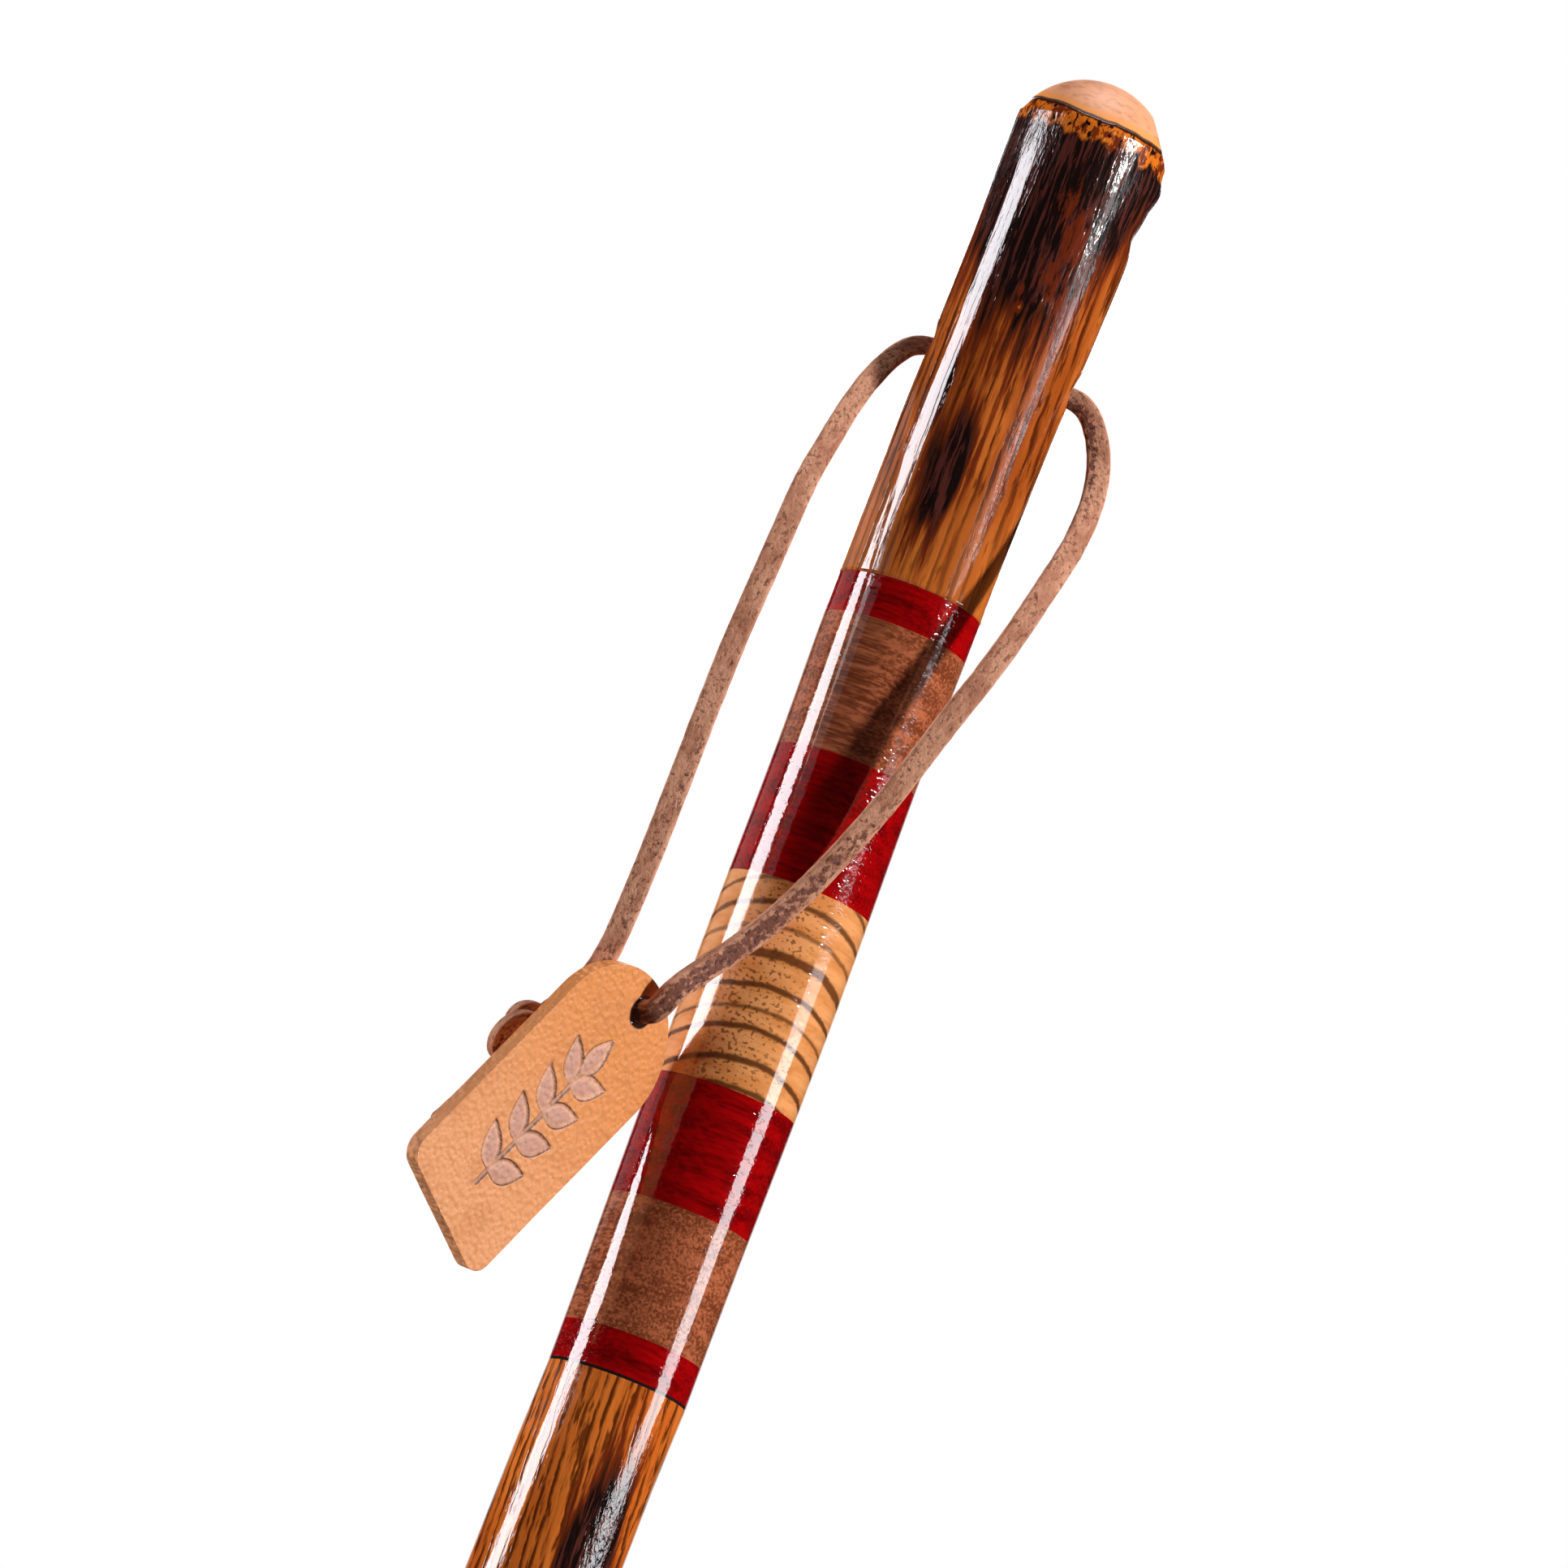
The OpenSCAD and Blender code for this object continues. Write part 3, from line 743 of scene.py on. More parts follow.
def shapeHead(bm):  # hand-peeled waves, char ridges, the bump at the right of the rim and the dome's flat
    for vert in bm.verts:
        z = vert.co.z / mm
        radius = math.hypot(vert.co.x, vert.co.y) / mm
        if inBore(vert.co) and z < domeZ:
            continue
        angle = angleOf(vert.co)
        settle = min(1.0, (z - upperZ) / 6.0)
        rim = within((domeZ + 0.5 - z) / 3.0)
        char = within(headChar(angle, z) + 0.3) * (1 - 0.9 * filledStrip(angle, z))
        char *= 0.25 + 0.75 * within((z - headSurface["ridgeFrom"]) / 10)
        ridges = headShape["charRidge"] * ripple(vert.co, 420, 75)
        ridges += headShape["charFine"] * ripple(vert.co, 900, 220)
        out = settle * (headShape["uneven"] * ripple(vert.co, 90, 35) + rim * char * ridges)
        out += spot(angle, z, headShape["rimBump"]) - spot(angle, z, headShape["rimHollow"])
        out += spot(angle, z, headShape["knotBump"])
        grow = 1 + out / max(radius, 6.0)
        vert.co.x *= grow
        vert.co.y *= grow
    facing, reach = Vector(headShape["flatFacing"]), headShape["flatReach"] * mm
    centre = Vector((0, 0, staffTop - domeRadius())) * mm
    for vert in bm.verts:
        over = (vert.co - centre).dot(facing) - reach
        if over > 0:
            vert.co -= facing * over * 0.9


def drill(piece, outline, axis, z=0):  # cuts a turned outline out of a piece and throws the drill away
    cutter = turnOutline(outline, 64)
    quarter = Matrix.Rotation(math.radians(90), 3, axis)
    bmesh.ops.rotate(cutter, verts=cutter.verts, cent=(0, 0, 0), matrix=quarter)
    bmesh.ops.translate(cutter, verts=cutter.verts, vec=(0, 0, z * mm))
    tool = addMesh("drill", cutter)
    cut = piece.modifiers.new("hole", "BOOLEAN")
    cut.object = tool
    cut.solver = "EXACT"
    bpy.context.view_layer.update()
    done = bpy.data.meshes.new_from_object(piece.evaluated_get(bpy.context.evaluated_depsgraph_get()))
    piece.modifiers.clear()
    piece.data = done
    piece.data.set_sharp_from_angle(angle=math.radians(50))
    bpy.data.objects.remove(tool)


def paintVerts(piece, name, measure):
    layer = piece.data.attributes.new(name, "FLOAT", "POINT")
    for vert, value in zip(piece.data.vertices, layer.data):
        value.value = measure(vert.co)


staffTop = heightsOf("head")[1]
domeZ = staffTop - headShape["domeHeight"]
holeZ = staffTop - headShape["holeDrop"]


def makeHead():
    ball = domeRadius()
    start = math.asin(1 - headShape["domeHeight"] / ball)
    flankTop = domeZ - headShape["domeEdge"]
    flank = [(headRadius(z), z) for z in rows(upperZ + groove, flankTop, headShape["rows"])]
    turns = [start + (math.pi / 2 - start) * i / headShape["domeRows"] for i in range(headShape["domeRows"])]
    dome = [(ball * math.cos(a), staffTop - ball + ball * math.sin(a)) for a in turns]
    bore = [(0, upperZ + staff["boreDepth"]), (staff["boreRadius"], upperZ + staff["boreDepth"]),
            (staff["boreRadius"], upperZ), (upperRadius - groove, upperZ)]
    bm = turnOutline(bore + flank + dome + [(0, staffTop)], headShape["steps"])
    shapeHead(bm)
    bend(bm)
    piece = finishPiece(bm, "oakHead", makeOak("scorchedOak", "head"), "staff", ["head"])
    mouth = headRadius(holeZ)
    radius, chamfer = headShape["holeRadius"], headShape["holeChamfer"]
    half = [(radius, mouth - chamfer), (radius + 3 * chamfer, mouth + 2 * chamfer)]
    outline = [(0, -half[1][1]), (half[1][0], -half[1][1]), (radius, -half[0][1])] + half + [(0, half[1][1])]
    drill(piece, outline, "Y", holeZ)
    paintVerts(piece, "scorch", lambda co: headChar(angleOf(co), co.z / mm))
    paintVerts(piece, "rough", lambda co: headRough(angleOf(co), co.z / mm))
    paintVerts(piece, "overLine", lambda co: co.z / mm - alongList(headScorch["line"], angleOf(co)))
    paintVerts(piece, "ember", lambda co: max(spot(angleOf(co), co.z / mm, e) for e in headScorch["embers"]))
    return piece


makeHead()
print("head turned, charred and drilled")


# Shaft and spacer

shaftShape = {
    "swellRadius": 14.1,
    "swellDrop": 120,
    "footRadius": 12.0,
    "footZ": 44.3,
    "spigotRadius": 11.0,
    "steps": 128,
    "rows": 3.0,
    "uneven": 0.12,  # hand-peeled waves and the ridges of the char, in millimetres
    "charRidge": 0.07,
    "filledAt": -43,  # degrees from the front of a smooth strip
    "filledHalf": 10,
    "fineTop": 70,  # the stretch under the grip with closer rows
    "fineRows": 0.7,
    "marks": [  # degrees, height, half sizes and depth
        (32, 1088, 24, 24, 3.4), (-120, 1050, 20, 24, 2.6), (10, 900, 18, 26, 2.6), (150, 760, 22, 30, 2.6),
        (-60, 620, 18, 22, 2.5), (60, 430, 20, 28, 2.6), (-150, 300, 20, 26, 2.6), (0, 170, 16, 20, 2.4)],
}


def shaftRadius(z):
    swellZ = shaftTop - shaftShape["swellDrop"]
    if z > swellZ:
        return ease(shaftShape["swellRadius"], lowerRadius, (z - swellZ) / (shaftTop - swellZ))
    share = (z - shaftShape["footZ"]) / (swellZ - shaftShape["footZ"])
    swell = shaftShape["swellRadius"] - shaftShape["footRadius"]
    return shaftShape["footRadius"] + swell * math.sin(math.pi / 2 * share)


def shaftChar(angle, z):
    return max(spot(angle, z, mark) for mark in shaftShape["marks"]) - markFloor


def shaftRough(angle, z):
    filled = bell(angle, shaftShape["filledAt"], shaftShape["filledHalf"])
    return (0.08 + 0.55 * within(shaftChar(angle, z) * 0.6 + 0.5)) * (1 - 0.9 * filled)


def shapeShaft(bm):
    for vert in bm.verts:
        z = vert.co.z / mm
        radius = math.hypot(vert.co.x, vert.co.y) / mm
        if radius < shaftShape["spigotRadius"] + 0.5:
            continue
        settle = min(1.0, max(0.0, (shaftTop - z) / 8), max(0.0, (z - shaftShape["footZ"]) / 8))
        char = within(shaftChar(angleOf(vert.co), z) + 0.3)
        out = shaftShape["uneven"] * ripple(vert.co, 80, 22)
        out += shaftShape["charRidge"] * char * ripple(vert.co, 420, 60)
        grow = 1 + settle * out / radius
        vert.co.x *= grow
        vert.co.y *= grow


def makeShaft():
    low = heightsOf("shaft")[0]
    fineZ = shaftTop - shaftShape["fineTop"]
    coarse = rows(shaftShape["footZ"], fineZ, shaftShape["rows"])
    close = rows(fineZ, shaftTop, shaftShape["fineRows"])[1:]
    outer = [(shaftRadius(z), z) for z in coarse + close]
    foot = [(0, low), (shaftShape["spigotRadius"], low), (shaftShape["spigotRadius"], shaftShape["footZ"])]
    bore = [(staff["boreRadius"], shaftTop), (staff["boreRadius"], shaftTop - staff["boreDepth"]),
            (0, shaftTop - staff["boreDepth"])]
    bm = turnOutline(foot + outer + bore, shaftShape["steps"])
    shapeShaft(bm)
    bend(bm)
    piece = finishPiece(bm, "oakShaft", makeOak("lacqueredOak", "shaft"), "staff", ["shaft"])
    paintVerts(piece, "rough", lambda co: shaftRough(angleOf(co), co.z / mm))
    paintVerts(piece, "scorch", lambda co: shaftChar(angleOf(co), co.z / mm))
    return piece


def makeFibre():
    sheet, tree, shader, at = startWood("blackFibre")
    grain = speckle(tree, at, (900, 900, 900), 3)
    color = mixColors(tree, grain, (0.006, 0.005, 0.005, 1), (0.024, 0.018, 0.016, 1))
    plug(tree, color, shader.inputs["Base Color"])
    return sheet


shaftTop = heightsOf("shaft")[1]
makeShaft()
spacerLow, spacerHigh = heightsOf("shaft_spacer")
spacerRadius = lowerRadius - 0.05
spacerOutline = [(spacerRadius, spacerLow), (spacerRadius, spacerHigh),
                 (staff["boreRadius"], spacerHigh), (staff["boreRadius"], spacerLow)]
spacer = turnOutline(spacerOutline, staff["steps"], closed=True)
bend(spacer)
finishPiece(spacer, "spacerRing", makeFibre(), "staff", ["shaft_spacer"])
print("shaft and spacer turned")


# Rubber tip, washer and dowel

tipShape = {
    "height": 44.0, "treadRadius": 17.0, "neckRadius": 14.45, "edge": 2.0, "rim": 7.0, "flare": 13.0,
    "ribs": 3, "ribRadius": 1.1, "ribPitch": 5.0, "socketRadius": 11.05, "floor": 10.0,
    "grooves": (5.0, 10.0), "grooveWidth": 2.0, "grooveDepth": 1.5,
}


def tipOutline(shape):
    height, tread, neck, edge = shape["height"], shape["treadRadius"], shape["neckRadius"], shape["edge"]
    rib, socket, floor = shape["ribRadius"], shape["socketRadius"], shape["floor"]
    points = [(0, 0)]
    for middle in shape["grooves"]:
        inner, outer = middle - shape["grooveWidth"] / 2, middle + shape["grooveWidth"] / 2
        points += [(inner, 0), (inner, shape["grooveDepth"]), (outer, shape["grooveDepth"]), (outer, 0)]
    for degrees in range(-90, 1, 15):
        a = math.radians(degrees)
        points.append((tread - edge * (1 - math.cos(a)), edge * (1 + math.sin(a))))
    for i in range(13):
        points.append((ease(tread, neck, i / 12), shape["rim"] + shape["flare"] * i / 12))
    for i in range(shape["ribs"], 0, -1):
        middle = height - edge - i * shape["ribPitch"]
        for degrees in range(-90, 91, 20):
            a = math.radians(degrees)
            points.append((neck + rib * math.cos(a), middle + rib * math.sin(a)))
    lip = edge / 2
    for degrees in range(0, 91, 18):
        a = math.radians(degrees)
        points.append((neck - lip * (1 - math.cos(a)), height - lip * (1 - math.sin(a))))
    return points + [(socket, height), (socket, floor), (0, floor)]


def makeRubber():
    rubber, tree, shader, at = startWood("blackRubber")
    dust = speckle(tree, at, (700, 700, 700), 4, 0.6)
    low = fade(tree, split(tree, at)[2], 0.0, 9.0 * mm, 0.55, 0.08)
    scuffed = calc(tree, "MULTIPLY", fade(tree, dust, 0.50, 0.75), low)
    color = mixColors(tree, scuffed, (0.014, 0.014, 0.015, 1), (0.11, 0.10, 0.09, 1))
    plug(tree, color, shader.inputs["Base Color"])
    plug(tree, fade(tree, dust, 0.3, 0.7, 0.5, 0.72), shader.inputs["Roughness"])
    shader.inputs["IOR"].default_value = 1.5
    addSkin(tree, shader, calc(tree, "MULTIPLY", speckle(tree, at, (1600, 1600, 1600), 2), 0.03))
    return rubber


def makeMaple():
    maple, tree, shader, at = startWood("dowelMaple")
    fibre = speckle(tree, at, (900, 900, 40), 3)
    color = mixColors(tree, fibre, (0.52, 0.36, 0.20, 1), (0.68, 0.52, 0.33, 1))
    plug(tree, color, shader.inputs["Base Color"])
    shader.inputs["Roughness"].default_value = 0.55
    return maple


def makeZinc():
    zinc, tree, shader, at = startWood("washerZinc")
    cloud = speckle(tree, at, (500, 500, 500), 4)
    color = mixColors(tree, cloud, (0.46, 0.47, 0.48, 1), (0.66, 0.67, 0.68, 1))
    plug(tree, color, shader.inputs["Base Color"])
    plug(tree, fade(tree, cloud, 0.3, 0.7, 0.28, 0.45), shader.inputs["Roughness"])
    shader.inputs["Metallic"].default_value = 1.0
    return zinc


def dress(node, material):
    cadNodes[node].data.materials.clear()
    cadNodes[node].data.materials.append(material)


tip = turnOutline(tipOutline(tipShape), 128)
finishPiece(tip, "rubberFoot", makeRubber(), "staff", ["rubber_tip"])
dress("core_dowel", makeMaple())
dress("tip_washer", makeZinc())
print("rubber tip, washer and dowel dressed")


# Lace strands and knot

lace = {
    "width": 4.6, "thickness": 3.2, "flat": 0.78, "squareness": 0.36, "fuzz": 0.09, "sides": 24, "perSpan": 8,
}
leftSizes = [  # size at each share of a strand, which is thin at the hole's mouth
    (0, 1.0), (0.04, 0.95), (0.07, 0.72), (0.12, 0.76), (0.25, 0.9), (0.4, 1.0), (1, 1.0)]
rightSizes = [(0, 1.0), (0.03, 0.95), (0.06, 0.82), (0.1, 0.9), (0.2, 1.0), (1, 1.0)]
tagPlace = {"turn": (6.6, 26, 51.5), "hole": (-21, -18.5, -145.6)}
tagTurn = Matrix.Rotation(math.radians(tagPlace["turn"][2]), 3, "Z") \
    @ Matrix.Rotation(math.radians(tagPlace["turn"][1]), 3, "Y") \
    @ Matrix.Rotation(math.radians(tagPlace["turn"][0]), 3, "X")


def onTag(point):
    return Vector(tagPlace["hole"]) + tagTurn @ Vector(point)


leftRoute = [Vector(p) for p in [
    (0, 0, -1.6), (-5, 0, -1.6), (-10, 0, -1.5), (-14, 0, -1.2), (-17.3, -0.3, -2.4), (-20, -1.2, -5.8),
    (-22.7, -3.2, -12.3), (-24.6, -6, -20), (-26, -9.5, -28.8), (-27.2, -12.8, -37.7), (-27.7, -15.2, -48.1),
    (-28.2, -17, -59.2), (-28.8, -18.5, -72.3), (-29, -19.7, -86.2), (-29, -20.5, -99), (-29, -21.2, -111.6),
    (-29.2, -21.5, -124.3), (-29.7, -21.3, -135), (-30.8, -20.2, -141.4)]]
leftRoute += [onTag(p) for p in [
    (-6, 9, -6), (-8, 8.4, -13.5), (-9, 7.1, -21), (-9.3, 6.3, -29), (-9.8, 5.8, -37.5), (-10.8, 5.2, -46)]]
rightRoute = [Vector(p) for p in [
    (0, 0, -1.6), (5, 0, -1.6), (10, 0, -1.5), (14, 0, -0.9), (18, -0.5, -2), (21.5, -1.5, -6),
    (24, -3, -11.5), (25.2, -5.5, -17.1), (25.5, -8, -23.2), (25, -11.7, -30.3), (23.7, -14.4, -37.4),
    (22, -17.2, -45.5), (20, -19.4, -54.5), (17.5, -20.4, -63.5), (14.8, -20.7, -72), (10.8, -20.1, -85.5),
    (7.5, -19.6, -95.7), (3.2, -19, -106.9), (-1.8, -18.7, -117.8), (-6.2, -19, -125.6), (-11, -20.1, -132.8),
    (-15, -21.8, -138.9)]]
rightRoute += [onTag(p) for p in [
    (-0.4, -4, 1.4), (0, 0, 0), (0.2, 3.8, -1), (-0.8, 6, -5.5), (-3, 7.2, -12), (-4.6, 7.2, -18.5),
    (-4.8, 6.5, -26), (-3.5, 6, -34), (-2.5, 6, -41)]]
leftFacing = (Vector((0, 1, 0)), Vector((0, 1, 0)))
rightFacing = (Vector((0, 1, 0)), Vector((-0.1, 0.6, 0.8)))
leftGrain = [  # share of a strand, then the middle and the half width of its dark grain
    (0, 0, 0.12), (0.18, 0.05, 0.12), (0.3, 0.1, 0.15), (0.55, 0.15, 0.25), (0.75, 0.1, 0.35), (1, 0.1, 0.5)]
# the first rows put the dark strip over the inner half near the head: partly grain, partly painted shade
rightGrainAndShade = [
    (0, -0.4, 0.5), (0.12, -0.5, 0.5), (0.2, -0.4, 0.35), (0.28, -0.2, 0.15), (0.42, -0.1, 0.15),
    (0.5, 0, 0.25), (0.56, 0, 0.55), (0.62, 0, 0.75), (1, 0, 0.8)]


def smoothRoute(points, perSpan):  # a curve through all the points
    ends = [points[0] * 2 - points[1]] + points + [points[-1] * 2 - points[-2]]
    path = []
    for a, b, c, d in zip(ends, ends[1:], ends[2:], ends[3:]):
        for i in range(perSpan):
            t = i / perSpan
            path.append(0.5 * (2 * b + (c - a) * t + (2 * a - 5 * b + 4 * c - d) * t * t
                               + (3 * b - a - 3 * c + d) * t ** 3))
    return path + [points[-1]]


def laceCorner(share):  # one point of the lace's rounded, flat section
    angle = math.tau * share
    x, y = math.cos(angle), math.sin(angle)
    return (math.copysign(abs(x) ** lace["squareness"], x) * lace["width"] / 2,
            math.copysign(abs(y) ** lace["squareness"], y) * lace["thickness"] * lace["flat"] / 2)


def sweepLace(path, facing, grain, closed, sizes):  # extrudes the section along a path in millimetres
    bm = bmesh.new()
    corner = bm.verts.layers.int.new("corner")
    where = bm.verts.layers.float_vector.new("laceAt")
    darker = bm.verts.layers.float.new("grainAndShadeFace")
    middles = [(share, middle) for share, middle, half in grain]
    halves = [(share, half) for share, middle, half in grain]
    ring = bmesh.ops.create_circle(bm, segments=lace["sides"], radius=1)["verts"]
    for i, vert in enumerate(ring):
        vert[corner] = i
    edges = list(bm.edges)
    first = list(edges)
    along = 0.0
    last = len(path) - 1
    for i, point in enumerate(path):
        ahead = path[(i + 1) % len(path)] if closed else path[min(i + 1, last)]
        behind = path[i - 1] if closed else path[max(i - 1, 0)]
        heading = (ahead - behind).normalized()
        face = facing(i / last)
        size = alongList(sizes, i / last)
        through = (face - face.dot(heading) * heading).normalized()
        across = heading.cross(through)
        if i:
            grown = bmesh.ops.extrude_edge_only(bm, edges=edges)["geom"]
            edges = [g for g in grown if isinstance(g, bmesh.types.BMEdge)]
            ring = [g for g in grown if isinstance(g, bmesh.types.BMVert)]
            along += (point - path[i - 1]).length
        for vert in ring:
            x, y = laceCorner((vert[corner] + 0.5) / lace["sides"])
            rough = 1 + lace["fuzz"] * noise.noise(Vector((x * 0.7, y * 0.7, along * 0.55))) * 0.5
            vert.co = (point + (across * x + through * y) * rough * size + Vector((0, 0, holeZ))) * mm
            vert[where] = Vector((x, y, along)) * mm
            # the dark strip from the table: suede grain, and on the right strand near the head also painted
            # shade
            off = abs(x * 2 / lace["width"] - alongList(middles, i / last))
            vert[darker] = alongList(halves, i / last) - off if y < 0 else -0.6
    if closed:
        bmesh.ops.bridge_loops(bm, edges=first + edges)
    else:
        bmesh.ops.holes_fill(bm, edges=[e for e in bm.edges if e.is_boundary], sides=lace["sides"])
    bm.verts.layers.int.remove(corner)
    bmesh.ops.recalc_face_normals(bm, faces=bm.faces)
    return bm


laceLook = {
    "light": (0.68, 0.335, 0.212, 1),
    "mid": (0.45, 0.185, 0.108, 1),
    "brown": (0.19, 0.066, 0.037, 1),
    "mauve": (0.21, 0.078, 0.060, 1),
    "dark": (0.022, 0.010, 0.008, 1),
}


def makeSuede():  # napped tan flesh and cut edges, with a ragged dark strip along one face: the grain, and on the right strand near the head also painted shade on its inner half
    suede, tree, shader = startMaterial("laceSuede")
    at = attribute(tree, "laceAt", "Vector")
    cloud = speckle(tree, at, (350, 350, 150), 3, 0.6)
    nap = speckle(tree, at, (1700, 1700, 1000), 3, 0.7)
    flecks = speckle(tree, at, (1350, 1350, 950), 2, 0.55)
    lumps = speckle(tree, at, (950, 950, 800), 3, 0.6)
    tan = mixColors(tree, fade(tree, cloud, 0.35, 0.60), laceLook["mid"], laceLook["light"])
    tan = mixColors(tree, fade(tree, nap, 0.48, 0.72, 0.0, 0.5), tan, laceLook["mid"])
    tan = mixColors(tree, fade(tree, flecks, 0.55, 0.66, 0.0, 0.7), tan, laceLook["brown"])
    ragged = calc(tree, "MULTIPLY_ADD", lumps, 2.0, calc(tree, "ADD", attribute(tree, "grainAndShadeFace"), -1.05))
    grain = mixColors(tree, fade(tree, nap, 0.40, 0.62), laceLook["mauve"], laceLook["brown"])
    grain = mixColors(tree, fade(tree, flecks, 0.56, 0.66, 0.0, 0.6), grain, laceLook["dark"])
    color = mixColors(tree, fade(tree, ragged, -0.15, 0.20), tan, grain)
    plug(tree, color, shader.inputs["Base Color"])
    plug(tree, fade(tree, nap, 0.35, 0.65, 0.45, 0.8), shader.inputs["Roughness"])
    shader.inputs["Specular IOR Level"].default_value = 0.15
    height = calc(tree, "MULTIPLY_ADD", flecks, -0.14, calc(tree, "MULTIPLY", nap, 0.16))
    addSkin(tree, shader, calc(tree, "MULTIPLY_ADD", lumps, 0.10, height))
    return suede


def routeLength(path):
    return sum((b - a).length for a, b in zip(path, path[1:])) * mm


def makeStrand(name, route, facing, grain, sizes, node, mouth):
    path = smoothRoute(route, lace["perSpan"])
    bm = sweepLace(path, lambda share: facing[0].lerp(facing[1], share), grain, False, sizes)
    piece = finishPiece(bm, name, laceSuede, "lanyard", [node], 60)
    line = [(p + Vector((0, 0, holeZ))) * mm for p in path]
    return piece, line, routeLength(path), (mouth * mm, 0, holeZ * mm)


knotShape = {
    "middle": (-9, 7.1, -21), "ring": 4.0, "swing": 2.0, "rise": 2.1, "start": -30, "rings": 120,
    "sizes": [(0, 0.86), (1, 0.86)],
    "grain": [(0, 0.3, 0.3), (0.5, -0.3, 0.5), (1, 0.3, 0.3)],
}


def makeKnot(shape):
    path = []
    for i in range(shape["rings"]):
        a = math.tau * i / shape["rings"]
        radius = shape["ring"] + shape["swing"] * math.cos(3 * a)
        turn = 2 * a + math.radians(shape["start"])
        path.append(onTag(Vector(shape["middle"]) + Vector((
            radius * math.cos(turn), shape["rise"] * math.sin(3 * a), radius * math.sin(turn)))))
    outward = tagTurn @ Vector((0, 1, 0))
    bm = sweepLace(path, lambda share: outward, shape["grain"], True, shape["sizes"])
    return finishPiece(bm, "laceKnot", laceSuede, "lanyard", ["lanyard_knot"], 60)


laceSuede = makeSuede()
leftStrand, leftLine, leftLength, leftMouth = makeStrand(
    "leftLace", leftRoute, leftFacing, leftGrain, leftSizes, "lanyard_left_strand", -14.8)
rightStrand, rightLine, rightLength, rightMouth = makeStrand(
    "rightLace", rightRoute, rightFacing, rightGrainAndShade, rightSizes, "lanyard_right_strand", 14.8)
laceKnot = makeKnot(knotShape)
print("lace swept: left", round(leftLength, 4), "m, right", round(rightLength, 4), "m")


# Leather tag

tagShape = {
    "length": 64.0, "width": 34.0, "thickness": 3.0, "holeInset": 5.8, "holeRadius": 3.05, "corner": 4.0,
    "columns": 110, "sideRows": 130, "topRows": 56, "cornerRows": 10, "edge": 0.75, "press": 0.34,
}
tagLook = {
    # upper and lower: the tag's colour at its hole end and at its foot; the lighter, paler foot is painted
    # light and sheen
    "upper": (0.76, 0.275, 0.076, 1),
    "lower": (0.82, 0.355, 0.155, 1),
    "shade": (0.60, 0.215, 0.068, 1),
    "outline": (0.10, 0.030, 0.016, 1),
    "floor": (0.60, 0.31, 0.23, 1),
    "cut": (0.95, 0.50, 0.32, 1),
    "cutDark": (0.74, 0.35, 0.20, 1),
    # hole: painted shade, darkening the hole's wall and a thin ring round its rim
    "hole": (0.10, 0.032, 0.014, 1),
}
sprig = {"foot": -49.0, "tip": -17.0, "pairs": 4, "leaf": 10.0, "leafWidth": 2.5, "lean": 50, "stem": 0.42}


def tagRows(shape):  # (half width, height) of each row, from the foot up
    half, corner, top = shape["width"] / 2, shape["corner"], shape["holeInset"]
    foot, shoulder = top - shape["length"], top - half
    made = []
    for i in range(shape["cornerRows"]):
        a = math.pi / 2 * i / shape["cornerRows"]
        made.append((half - corner + corner * math.sin(a), foot + corner - corner * math.cos(a)))
    made += [(half, z) for z in rows(foot + corner, shoulder, (shoulder - foot - corner) / shape["sideRows"])]
    for i in range(1, shape["topRows"] + 1):
        a = math.pi / 2 * i / shape["topRows"]
        made.append((half * math.cos(a), shoulder + half * math.sin(a)))
    return made


def leafDistance(x, z, root, angle):  # under 0 inside a leaf, which leans from upright by the angle
    dx, dz = x - root[0], z - root[1]
    up = dx * math.sin(angle) + dz * math.cos(angle)
    side = dx * math.cos(angle) - dz * math.sin(angle)
    share = up / sprig["leaf"]
    if share <= 0 or share >= 1:
        return 1.0
    return abs(side) - sprig["leafWidth"] * math.sin(math.pi * share ** 0.8)


def sprigDistance(x, z):  # a plain pressed sprig: a stem, pairs of leaves and one at the tip
    stem = abs(x) - sprig["stem"] if sprig["foot"] < z < sprig["tip"] else 1.0
    near = min(stem, leafDistance(x, z, (0, sprig["tip"] - 1), 0))
    for i in range(sprig["pairs"]):
        root = sprig["foot"] + 4 + (sprig["tip"] - sprig["foot"] - 8) * i / (sprig["pairs"] - 1)
        for side in (-1, 1):
            near = min(near, leafDistance(x, z, (0, root), side * math.radians(sprig["lean"])))
    return near


def pressDepth(x, z):  # a groove round each leaf and along each line, with the leaf puffed up inside
    inside = -sprigDistance(x, z)
    return within(0.5 + inside / 0.35) - 0.55 * within((inside - 0.5) / 0.9)


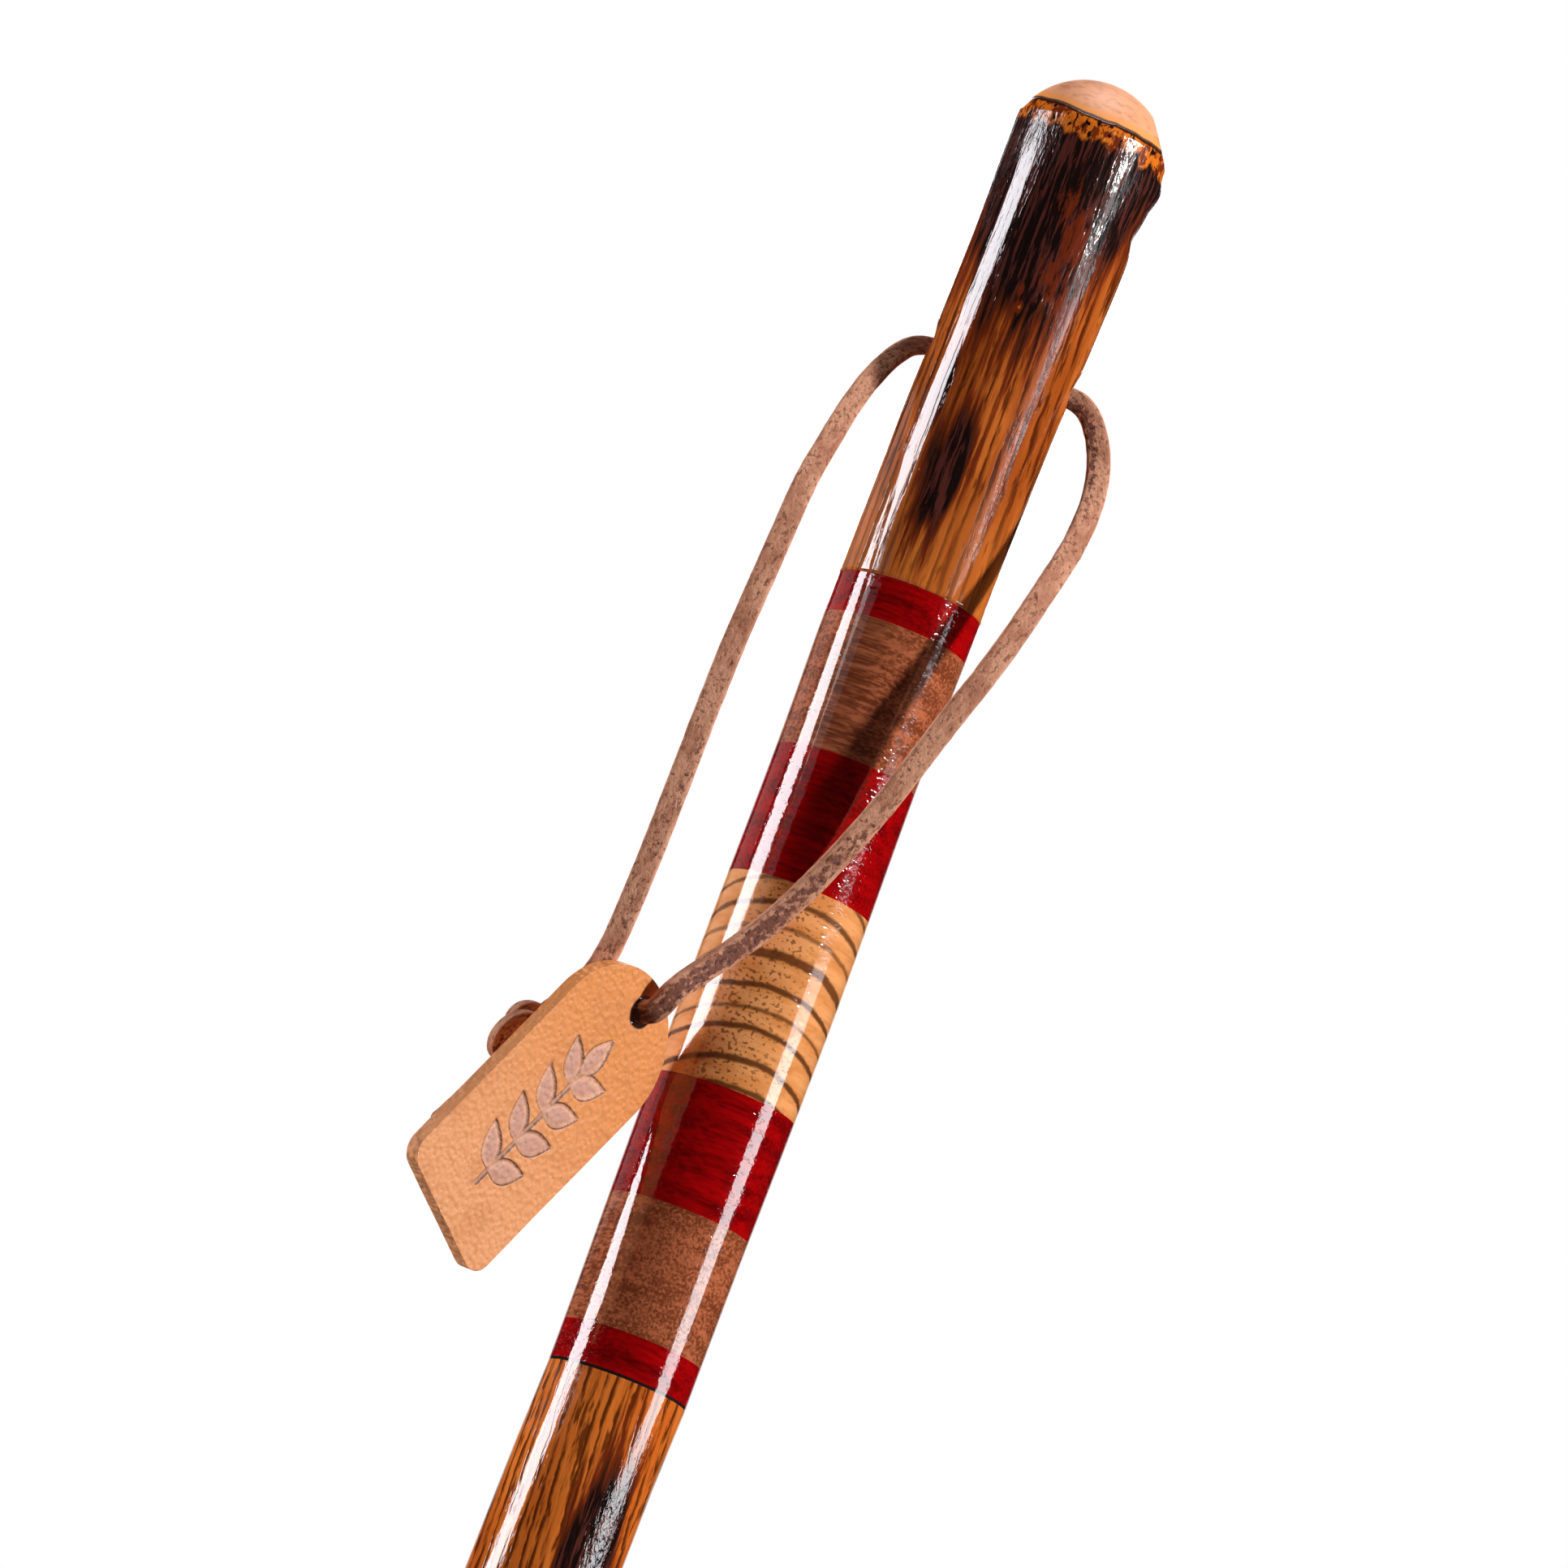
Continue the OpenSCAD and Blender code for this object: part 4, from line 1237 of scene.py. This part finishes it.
def makeTag(shape):
    bm = bmesh.new()
    table = tagRows(shape)
    bmesh.ops.create_grid(bm, x_segments=shape["columns"], y_segments=len(table) - 1, size=1)
    for vert in bm.verts:
        half, z = table[round((vert.co.y + 1) / 2 * (len(table) - 1))]
        vert.co = Vector((vert.co.x * half, -shape["thickness"] / 2, z))
    bmesh.ops.remove_doubles(bm, verts=bm.verts, dist=0.001)
    bmesh.ops.recalc_face_normals(bm, faces=bm.faces)
    front = list(bm.faces)
    if front[0].normal.y > 0:
        bmesh.ops.reverse_faces(bm, faces=front)
    bmesh.ops.solidify(bm, geom=front, thickness=shape["thickness"])
    bmesh.ops.recalc_face_normals(bm, faces=bm.faces)
    rim = [e for e in bm.edges if len(e.link_faces) == 2 and e.calc_face_angle() > math.radians(60)]
    bmesh.ops.bevel(bm, geom=rim, offset=shape["edge"], offset_type="OFFSET", segments=4, profile=0.5,
                    affect="EDGES", material=-1, clamp_overlap=True)
    for vert in bm.verts:
        x, y, z = vert.co
        if y < 0.3 - shape["thickness"] / 2:
            vert.co.y += shape["press"] * pressDepth(x, z)
        vert.co.y += 0.10 * noise.noise(Vector((x * 0.09, 3.1, z * 0.07)))
    bmesh.ops.scale(bm, verts=bm.verts, vec=(mm, mm, mm))
    return bm


def makeTagLeather():
    leather, tree, shader = startMaterial("tagLeather")
    at = attribute(tree, "tagAt", "Vector")
    inside = attribute(tree, "leafInside")
    cloud = speckle(tree, at, (90, 90, 90), 3)
    pebble = addNode(tree, "TexVoronoi", {"Vector": at, "Scale": 900.0, "Randomness": 1.0},
                     feature="SMOOTH_F1").outputs["Distance"]
    grit = speckle(tree, at, (2400, 2400, 2400), 2)
    # painted light: the tag lightens and pales towards its foot, standing in for the light and sheen on it
    rise = fade(tree, split(tree, at)[2], -52 * mm, -6 * mm)
    color = mixColors(tree, rise, tagLook["lower"], tagLook["upper"])
    color = mixColors(tree, fade(tree, cloud, 0.45, 0.70, 0.0, 0.35), color, tagLook["shade"])
    color = mixColors(tree, fade(tree, pebble, 0.40, 0.75, 0.0, 0.40), color, tagLook["shade"])
    color = mixColors(tree, fade(tree, inside, -0.30, -0.10), color, tagLook["outline"])
    color = mixColors(tree, fade(tree, inside, 0.40, 0.75), color, tagLook["floor"])
    layers = speckle(tree, at, (500, 1400, 500), 4, 0.65)
    cut = mixColors(tree, fade(tree, layers, 0.45, 0.70), tagLook["cut"], tagLook["cutDark"])
    color = mixColors(tree, attribute(tree, "cutEdge"), color, cut)
    flat = vectorMath(tree, "MULTIPLY", at, (1, 0, 1))[0]
    away = vectorMath(tree, "LENGTH", flat)["Value"]
    # painted shade: the hole's wall and a thin ring round its rim are darkened
    rim = tagShape["holeRadius"] * mm
    holeShade = fade(tree, away, rim + 0.02 * mm, rim + 0.4 * mm, 1.0, 0.0)
    color = mixColors(tree, holeShade, color, tagLook["hole"])
    plug(tree, color, shader.inputs["Base Color"])
    plug(tree, fade(tree, grit, 0.3, 0.7, 0.45, 0.6), shader.inputs["Roughness"])
    shader.inputs["Specular IOR Level"].default_value = 0.4
    addSkin(tree, shader, calc(tree, "MULTIPLY_ADD", grit, 0.08, calc(tree, "MULTIPLY", pebble, 0.34)))
    return leather


def placeTag():
    bm = makeTag(tagShape)
    piece = finishPiece(bm, "leatherTag", makeTagLeather(), "tag", ["leather_tag"], 50)
    reach, radius = tagShape["thickness"], tagShape["holeRadius"]
    drill(piece, [(0, -reach), (radius, -reach), (radius, reach), (0, reach)], "X")
    face = tagShape["thickness"] / 2 - 0.3
    front = -0.6 * face * mm
    paintVerts(piece, "leafInside", lambda co: -sprigDistance(co.x / mm, co.z / mm) if co.y < front else -1.0)
    paintVerts(piece, "cutEdge", lambda co: within((face + 0.12 - abs(co.y / mm)) / 0.25))
    spots = piece.data.attributes.new("tagAt", "FLOAT_VECTOR", "POINT")
    for vert, value in zip(piece.data.vertices, spots.data):
        value.vector = vert.co
    place = Matrix.Translation((Vector(tagPlace["hole"]) + Vector((0, 0, holeZ))) * mm) @ tagTurn.to_4x4()
    piece.data.transform(place)
    return piece


leatherTag = placeTag()
print("tag cut, pressed and hung")


# End of the build

print("scene built")
